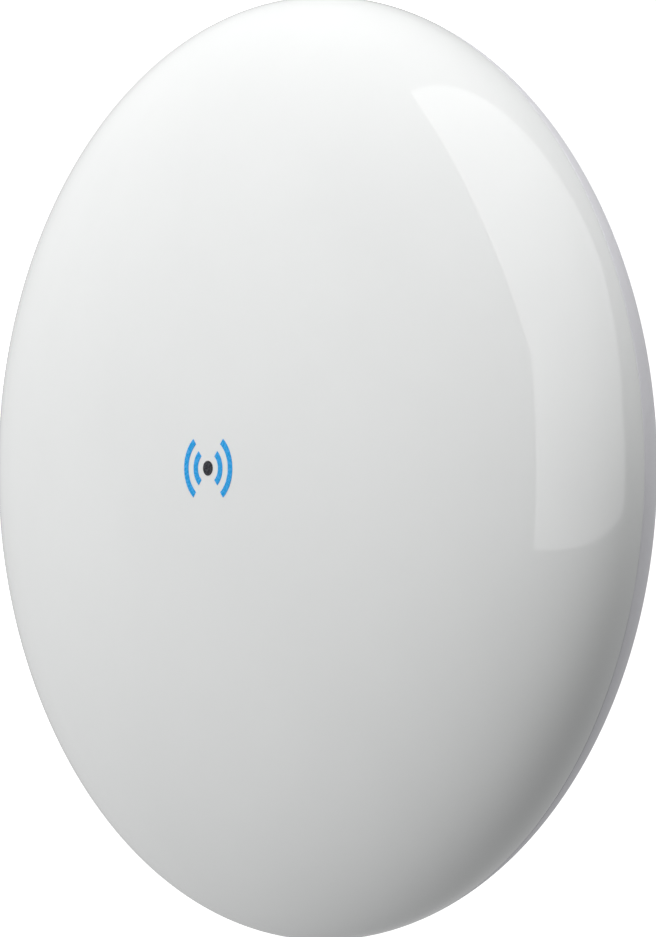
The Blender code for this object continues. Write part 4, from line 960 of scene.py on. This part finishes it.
class ANTENNA_OT_ball_joint(bpy.types.Operator):
    """Make the stud, the two liners, the clamp ring, the threaded collar and the lock nut"""

    bl_idname = "antenna.ball_joint"
    bl_label = "Ball joint"

    def execute(self, context):
        s = sizes()
        ball, stem = s.ball_radius, s.stem_radius
        front = BRACKET_FRONT - GAP
        end = behind_of(high("ball_stud").y)
        neck = 180 - math.degrees(math.asin(stem / ball))
        sphere = arc(ball, 0, neck, 90, BALL)
        neck_fillet = softened([sphere[-2], sphere[-1], (stem, sphere[-1][1] + 0.002)], 0.0012, 6, False)
        core, foot = 0.0030, 0.0075
        corners = [(stem, front - 0.0045), (stem, front - 0.0026), (foot - 0.0006, front - 0.0008)]
        corners += [(foot, front - 0.0003), (foot, front), (core, front)]
        shoulder = softened(corners, 0.0008, 6, False)
        thread_start = end - 0.0085
        first_part = np.concatenate([sphere[:-2], neck_fillet, shoulder, [(core, thread_start)]])
        plain = turned(first_part, 144)
        stud_thread_depth, stud_pitch = 0.0004, 0.001
        thread = threaded(thread_start, end - 0.0004, core, stud_thread_depth, stud_pitch, 144, 90)
        tip = turned([(core - 0.0007, end), (0, end)], 144)
        stud = loose("ball_stud_fine", [(np.concatenate([plain, thread, tip]), False, True)])
        finish_piece(stud, "bracket", "zinc_plate", "ball_stud", angle=35)

        liner_wall, liner_reach = 0.0010, 68
        for name, body in (("ball_liner_inner", "inner_liner"), ("ball_liner_outer", "outer_liner")):
            lower = low(name)
            outer = BALL - behind_of(lower.y)
            inner = outer - liner_wall
            section = [arc(inner, 0, liner_reach, 40, BALL), arc(outer, liner_reach, 0, 40, BALL)]
            section = np.concatenate(section)
            liner = loose(name + "_fine", [(turned(section, 144), False, True)])
            finish_piece(liner, body, "natural_plastic", name, angle=40)

        grip, outer = ball + GAP, high("clamp_ring").x
        start = math.degrees(math.acos(-(RING_FRONT - BALL) / grip))
        finish = math.degrees(math.acos(-(RING_REAR - BALL) / grip))
        corners = [(grip * math.sin(math.radians(finish)), RING_REAR), (outer, RING_REAR)]
        corners += [(outer, RING_FRONT), (grip * math.sin(math.radians(start)), RING_FRONT)]
        section = [arc(grip, start, finish, 14, BALL), softened(corners, 0.0003, 5, False)[1:-1]]
        section = np.concatenate(section)
        ring = loose("clamp_ring_fine", [(turned(section, 144), True, True)])
        finish_piece(ring, "clamp_ring", "fitting_grey", "clamp_ring", angle=35)

        # the collar: spherical cup, threaded outside, flange inside the bowl
        upper = high("socket_collar")
        cup_wall, flange_height, thread_depth = 0.0018, 0.002, 0.0007
        cup = outer + GAP
        flange, collar_rear = upper.x, behind_of(upper.y)
        thread_radius = flange - COLLAR_FLANGE_WIDTH
        shell = cup + cup_wall
        flange_front = behind_of(low("collar_gasket").y) - GAP - flange_height
        flange_rear = flange_front + flange_height
        meet = math.degrees(math.acos((BALL - flange_front) / shell))
        lead_in = [(cup, collar_rear - 0.0004), (cup + 0.0004, collar_rear)]
        lead_in += [(thread_radius - 0.0009, collar_rear)]
        inner_grid = turned(np.concatenate([arc(cup, 0, 90, 50, BALL), lead_in]), 192)
        first, last = flange_front + 0.0048, collar_rear - 0.0003
        thread = threaded(first, last, thread_radius, thread_depth, s.thread_pitch, 192, 150)
        root = thread_radius - 0.0002
        foot = [(root, flange_front + 0.0046), (root, flange_rear)]
        foot += [(flange, flange_rear), (flange, flange_front)]
        outside = turned(np.concatenate([foot, arc(shell, meet, 0, 36, BALL)]), 192)
        whole_grid = np.concatenate([inner_grid, thread[::-1], outside])
        collar = loose("socket_collar_fine", [(whole_grid, False, True)])
        bores, screw_hole = [], 0.0013
        for number in range(1, 5):
            at = (high(f"collar_screw_{number}") + low(f"collar_screw_{number}")) / 2
            bores.append(tube(f"bore_{number}", (at.x, at.z), screw_hole, 0, 0.06, 32))
        combine(collar, bores)
        finish_piece(collar, "head", "fitting_grey", "socket_collar", angle=30)

        # the nut: a closed section, finely divided, whose outer radius drops by the flute depth times a
        # raised cosine of the turn, fading in from the bore outwards
        radius = max(high("lock_nut").x, high("lock_nut").z, NUT_RADIUS)
        bore, opening, lip, chamfer = 0.0163, ball - 0.0011, NUT_REAR - 0.0035, 0.0040
        corners = [(bore, NUT_FRONT), (radius, NUT_FRONT), (radius, NUT_REAR - chamfer)]
        corners += [(radius - chamfer, NUT_REAR), (opening + 0.0024, NUT_REAR), (opening, lip), (bore, lip)]
        section = softened(corners, 0.0006, 7)
        share = span(0, 1, 5)[None, :-1, None]
        step = (np.roll(section, -1, 0) - section)[:, None]
        section = (section[:, None] + share * step).reshape(-1, 2)
        steps = 24 * s.flutes
        grid = turned(section, steps)
        turn = span(0, 2 * np.pi, steps + 1)[:-1]
        flute = (0.5 + 0.5 * np.cos(s.flutes * turn)) ** 2.2
        outer_share = np.clip((section[:, :1] - 0.0170) / 0.0022, 0, 1)
        scale = 1 - s.flute_depth * flute * outer_share / np.maximum(section[:, :1], 1e-6)
        grid[..., 0] *= scale
        grid[..., 2] *= scale
        nut = loose("lock_nut_fine", [(grid, True, True)])
        finish_piece(nut, "lock_nut", "nut_satin", "lock_nut", angle=40)
        return {"FINISHED"}


# ---------------------------------------------------------------- pole bracket
def toothed_section():
    """The bracket's section (x, behind): a flat-floored vee with stepped teeth, two lands, plain sides and
    softened front corners. Each tooth rises slowly and drops back sharply."""
    vee_depth, floor_half, outer, half = 0.006063, 0.0030, 0.0135, 0.0170
    slope, teeth, depth = math.tan(math.radians(30)), 4, 0.0006
    floor = behind_of(0) - vee_depth
    start = floor_half + (outer - floor_half) * np.arange(teeth) / teeth
    crest = start + (outer - floor_half) / teeth * 0.85
    after = start + (outer - floor_half) / teeth
    crest_behind = floor + (crest - floor_half) * slope - depth
    after_behind = floor + (after - floor_half) * slope
    zigzag = np.stack([crest, crest_behind, after, after_behind], -1).reshape(-1, 2)
    plain_side = [(half, BRACKET_REAR), (half, BRACKET_FRONT + 0.002), (half - 0.002, BRACKET_FRONT)]
    side = np.concatenate([[(floor_half, floor)], zigzag, plain_side])
    return np.concatenate([side, side[::-1] * [-1, 1]])


class ANTENNA_OT_bracket(bpy.types.Operator):
    """Make the pole bracket, and the washer and nut that hold the stud"""

    bl_idname = "antenna.bracket"
    bl_label = "Pole bracket"

    def execute(self, context):
        section = softened(toothed_section(), 0.00035, 4)
        after = np.roll(section, -1, 0)
        edge = after - np.roll(section, 1, 0)
        edge /= np.maximum(np.linalg.norm(edge, axis=1), 1e-9)[:, None]
        turned_left = np.sign(np.sum(section[:, 0] * after[:, 1] - after[:, 0] * section[:, 1]))
        outwards = turned_left * np.stack([edge[:, 1], -edge[:, 0]], -1)
        outwards[(np.abs(section[:, 0]) < 0.0165) & (section[:, 1] > BRACKET_FRONT + 0.003)] = 0
        half = high("pole_bracket").z
        turn = np.radians(span(0, 90, 6))
        inset = np.concatenate([0.0006 * (1 - np.sin(turn)), 0.0006 * (1 - np.cos(turn))])
        height = np.concatenate([-half + 0.0006 * (1 - np.cos(turn)), half - 0.0006 + 0.0006 * np.sin(turn)])
        rings = section[None] - inset[:, None, None] * outwards[None]
        grid = np.stack([rings[..., 0], RIM_Y + rings[..., 1], height[:, None] + 0 * rings[..., 0]], -1)
        bracket = loose("pole_bracket_fine", [(grid, False, True)])
        wide = 0.04
        slot_front, slot_rear = BRACKET_FRONT + 0.003, BRACKET_FRONT + 0.008
        cuts = []
        for z in (0.013, -0.013):
            slot = block((-wide, slot_front, z - 0.005), (wide, slot_rear, z + 0.005), 0.0012, 6)
            cuts.append(loose("strap_slot", [(slot, False, True)]))
        pocket_floor = behind_of(low("stud_washer").y) - GAP
        cuts.append(tube("stud_bore", (0, 0), 0.0033, 0, 0.1, 64))
        cuts.append(tube("nut_pocket", (0, 0), 0.010 / math.sqrt(3) + GAP, pocket_floor, 0.1, 96))
        for side in (-1, 1):
            inner_corner = (side * 0.0158, slot_front, -0.0055)
            outer_corner = (side * 0.03, slot_rear + 0.004, 0.0055)
            recess = block(inner_corner, outer_corner, 0.0010, 5)
            cuts.append(loose("side_recess", [(recess, False, True)]))
        combine(bracket, cuts)
        finish_piece(bracket, "bracket", "bracket_grey", "pole_bracket", angle=30)
        flats = bracket.modifiers.new("flats_stay_flat", "WEIGHTED_NORMAL")
        flats.mode = "FACE_AREA"
        flats.weight = 100
        flats.keep_sharp = True

        lower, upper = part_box("stud_washer")
        first, last = behind_of(lower.y), behind_of(upper.y)
        section = softened([(0.0033, first), (upper.x, first), (upper.x, last), (0.0033, last)], 0.00015, 4)
        washer = loose("stud_washer_fine", [(turned(section, 96), True, True)])
        finish_piece(washer, "bracket", "zinc_plate", "stud_washer", angle=40)

        lower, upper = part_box("stud_nut")
        first, last = behind_of(lower.y), behind_of(upper.y)
        flat = 0.005
        turn = span(0, 2 * np.pi, 145)[:-1][None, :]
        hexagon = flat / np.cos((turn + np.pi / 6) % (np.pi / 3) - np.pi / 6)
        bore, mouth, face, corner = 0.0033, 0.0037, 0.0047, 0.0059
        rows = [(bore, first), (bore, last), (mouth, last), (face, last)]
        rows += [(corner - 0.0001, last - 0.0008), (corner, last - 0.0009)]
        rows += [(corner, first + 0.0009), (corner - 0.0001, first + 0.0008)]
        rows = np.array(rows + [(face, first), (mouth, first)])
        reach = np.minimum(rows[:, :1], hexagon)
        grid = np.stack([reach * np.cos(turn), RIM_Y + rows[:, 1:] + 0 * turn, reach * np.sin(turn)], -1)
        nut = loose("stud_nut_fine", [(grid, True, True)])
        finish_piece(nut, "bracket", "zinc_plate", "stud_nut", angle=25)
        return {"FINISHED"}


# ---------------------------------------------------------------- carried-over inner pieces
INNER_FINISHES = {
    "radome_seal": "seal_rubber",
    "collar_gasket": "seal_rubber",
    "main_reflector": "spun_aluminium",
    "sub_reflector": "spun_aluminium",
    "feed_horn": "turned_brass",
    "feed_probe": "contact_gold",
    "feed_support": "natural_plastic",
    "radio_board": "board_laminate",
    "shield_can": "tinned_sheet",
    "processor_chip": "chip_epoxy",
    "memory_chip": "chip_epoxy",
    "line_transformer": "chip_epoxy",
    "reset_switch": "chip_epoxy",
    "capacitor_1": "chip_epoxy",
    "capacitor_2": "chip_epoxy",
}


class ANTENNA_OT_inner_pieces(bpy.types.Operator):
    """Give the dish, feed, board and screws their finishes"""

    bl_idname = "antenna.inner_pieces"
    bl_label = "Inner pieces"

    def execute(self, context):
        for name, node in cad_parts.items():
            finish = INNER_FINISHES.get(name)
            if finish is None and "screw" in name:
                finish = "zinc_plate"
            if finish is None:
                continue
            node.data.materials.clear()
            node.data.materials.append(bpy.data.materials[finish])
        return {"FINISHED"}


# ---------------------------------------------------------------- studio
def area_light(name, place, target, size_x, size_y, brightness):
    """A rectangular panel that faces target. Its power is pi times its area times its brightness."""
    light = bpy.data.lights.new(name, "AREA")
    light.shape = "RECTANGLE"
    light.size = size_x
    light.size_y = size_y
    light.energy = math.pi * size_x * size_y * brightness
    obj = bpy.data.objects.new(name, light)
    bpy.context.scene.collection.objects.link(obj)
    obj.location = place
    obj.rotation_euler = (Vector(target) - Vector(place)).to_track_quat("-Z", "Y").to_euler()
    return obj


def soft_surroundings(scene, washes):
    """Surroundings whose brightness is a sum of washes: each is half its level times one plus the
    cosine between the view direction and the wash's own direction."""
    world = bpy.data.worlds.new("studio")
    world.use_nodes = True
    tree = world.node_tree
    background = tree.nodes["Background"]
    background.inputs["Color"].default_value = (0.99, 0.995, 1.0, 1)
    direction = tree.nodes.new("ShaderNodeTexCoord").outputs["Generated"]
    total = None
    for way, level in washes:
        dot = tree.nodes.new("ShaderNodeVectorMath")
        dot.operation = "DOT_PRODUCT"
        dot.inputs[1].default_value = way
        tree.links.new(direction, dot.inputs[0])
        scale = tree.nodes.new("ShaderNodeMath")
        scale.operation = "MULTIPLY_ADD"
        tree.links.new(dot.outputs["Value"], scale.inputs[0])
        scale.inputs[1].default_value = level / 2
        scale.inputs[2].default_value = level / 2
        if total is not None:
            plus = tree.nodes.new("ShaderNodeMath")
            tree.links.new(total, plus.inputs[0])
            tree.links.new(scale.outputs[0], plus.inputs[1])
            total = plus.outputs[0]
        else:
            total = scale.outputs[0]
    tree.links.new(total, background.inputs["Strength"])
    scene.world = world


class ANTENNA_OT_stage(bpy.types.Operator):
    """Set up the floor, backdrop, lights and camera"""

    bl_idname = "antenna.stage"
    bl_label = "Stage"

    def execute(self, context):
        scene = context.scene
        studio = scene.antenna_studio
        scene.view_settings.view_transform = "Standard"
        middle = Vector((0, RIM_Y, 0))
        back = Vector((math.sin(studio.azimuth), -math.cos(studio.azimuth), 0))
        right = Vector((math.cos(studio.azimuth), math.sin(studio.azimuth), 0))
        up = Vector((0, 0, 1))

        camera = bpy.data.cameras.new("camera")
        camera.lens = studio.lens
        camera.sensor_width = 36
        camera.shift_x = studio.shift_sideways
        camera.shift_y = studio.shift_upwards
        camera.clip_start = 0.01
        holder = bpy.data.objects.new("camera", camera)
        scene.collection.objects.link(holder)
        holder.location = middle + back * studio.distance
        holder.rotation_euler = (-back).to_track_quat("-Z", "Y").to_euler()
        scene.camera = holder

        # floor and cove: a flat round floor that bends up through a quarter circle into a wall all round
        studio_paper("paper_white", (0.90, 0.90, 0.90), 1.0)
        bend = np.radians(span(0, 90, 24))[:, None]
        flat, curve, wall_top = 7.0, 1.2, 12.0
        reach = np.concatenate([[[0.0]], flat + curve * np.sin(bend), [[flat + curve]]])
        rise = np.concatenate([[[0.0]], curve * (1 - np.cos(bend)), [[wall_top]]]) - studio.floor_drop
        turn = span(0, 2 * np.pi, 97)[None, :-1]
        grid = np.stack([reach * np.cos(turn), RIM_Y + reach * np.sin(turn), rise + 0 * turn], -1)
        mesh = bpy.data.meshes.new("studio_cove")
        mesh.from_pydata(grid.reshape(-1, 3).tolist(), [], faces_of(*grid.shape[:2], False, True).tolist())
        mesh.shade_smooth()
        cove = bpy.data.objects.new("studio_cove", mesh)
        scene.collection.objects.link(cove)
        mesh.materials.append(bpy.data.materials["paper_white"])
        cove.visible_diffuse = cove.visible_glossy = cove.visible_shadow = False

        soft_surroundings(scene, ((-back, 0.36), (-up, 0.27)))

        def at(sideways, towards, upwards):
            return middle + right * sideways + back * towards + up * upwards

        for light in (
            area_light("overhead", at(0, 1.0, 2.2), middle, 1.8, 1.8, 5.8),
            area_light("left_panel", at(-2.0, 0.3, 0.3), at(0, 0, 0.3), 1.8, 1.2, 3.5),
            area_light("left_back_panel", at(-1.6, -1.4, 0.6), middle, 1.8, 1.8, 1.7),
            area_light("right_front_panel", at(1.6, 1.6, 0.3), middle, 1.4, 1.4, 0.35),
            area_light("rear_panel", middle + Vector((0, 2.5, 0.7)), middle, 1.6, 1.6, 1.3),
        ):
            light.visible_glossy = light.visible_camera = False
        for window in (
            area_light("window_upright", at(0.225, 2.1, 0.1), at(0.225, 0, 0.1), 4.35, 1.2, 1.5),
            area_light("window_leaning", at(0.225, 1.25, 1.375), at(0.225, 0.628, 0.592), 4.35, 2.17, 1.5),
        ):
            window.visible_diffuse = window.visible_camera = False
        return {"FINISHED"}


# ---------------------------------------------------------------- panel and main
class ANTENNA_PT_panel(bpy.types.Panel):
    bl_label = "Bridge antenna"
    bl_idname = "ANTENNA_PT_panel"
    bl_space_type = "VIEW_3D"
    bl_region_type = "UI"
    bl_category = "Antenna"

    def draw(self, context):
        layout = self.layout
        for operator in OPERATORS:
            layout.operator(operator.bl_idname)
        scene = context.scene
        for group in (scene.antenna_sizes, scene.antenna_colours, scene.antenna_studio):
            box = layout.box()
            for name in group.__annotations__:
                box.prop(group, name)


OPERATORS = (
    ANTENNA_OT_finishes,
    ANTENNA_OT_stage,
    ANTENNA_OT_radome,
    ANTENNA_OT_mark,
    ANTENNA_OT_rear_shell,
    ANTENNA_OT_port_cover,
    ANTENNA_OT_fittings,
    ANTENNA_OT_jack,
    ANTENNA_OT_ball_joint,
    ANTENNA_OT_bracket,
    ANTENNA_OT_inner_pieces,
)
GROUPS = (AntennaSizes, AntennaColours, StudioSettings)


def register():
    for made in GROUPS + OPERATORS + (ANTENNA_PT_panel,):
        bpy.utils.register_class(made)
    bpy.types.Scene.antenna_sizes = PointerProperty(type=AntennaSizes)
    bpy.types.Scene.antenna_colours = PointerProperty(type=AntennaColours)
    bpy.types.Scene.antenna_studio = PointerProperty(type=StudioSettings)


def unregister():
    del bpy.types.Scene.antenna_sizes
    del bpy.types.Scene.antenna_colours
    del bpy.types.Scene.antenna_studio
    for made in reversed(GROUPS + OPERATORS + (ANTENNA_PT_panel,)):
        bpy.utils.unregister_class(made)


def main():
    register()
    for operator in OPERATORS:
        group, name = operator.bl_idname.split(".")
        getattr(getattr(bpy.ops, group), name)()


if __name__ == "__main__":
    main()
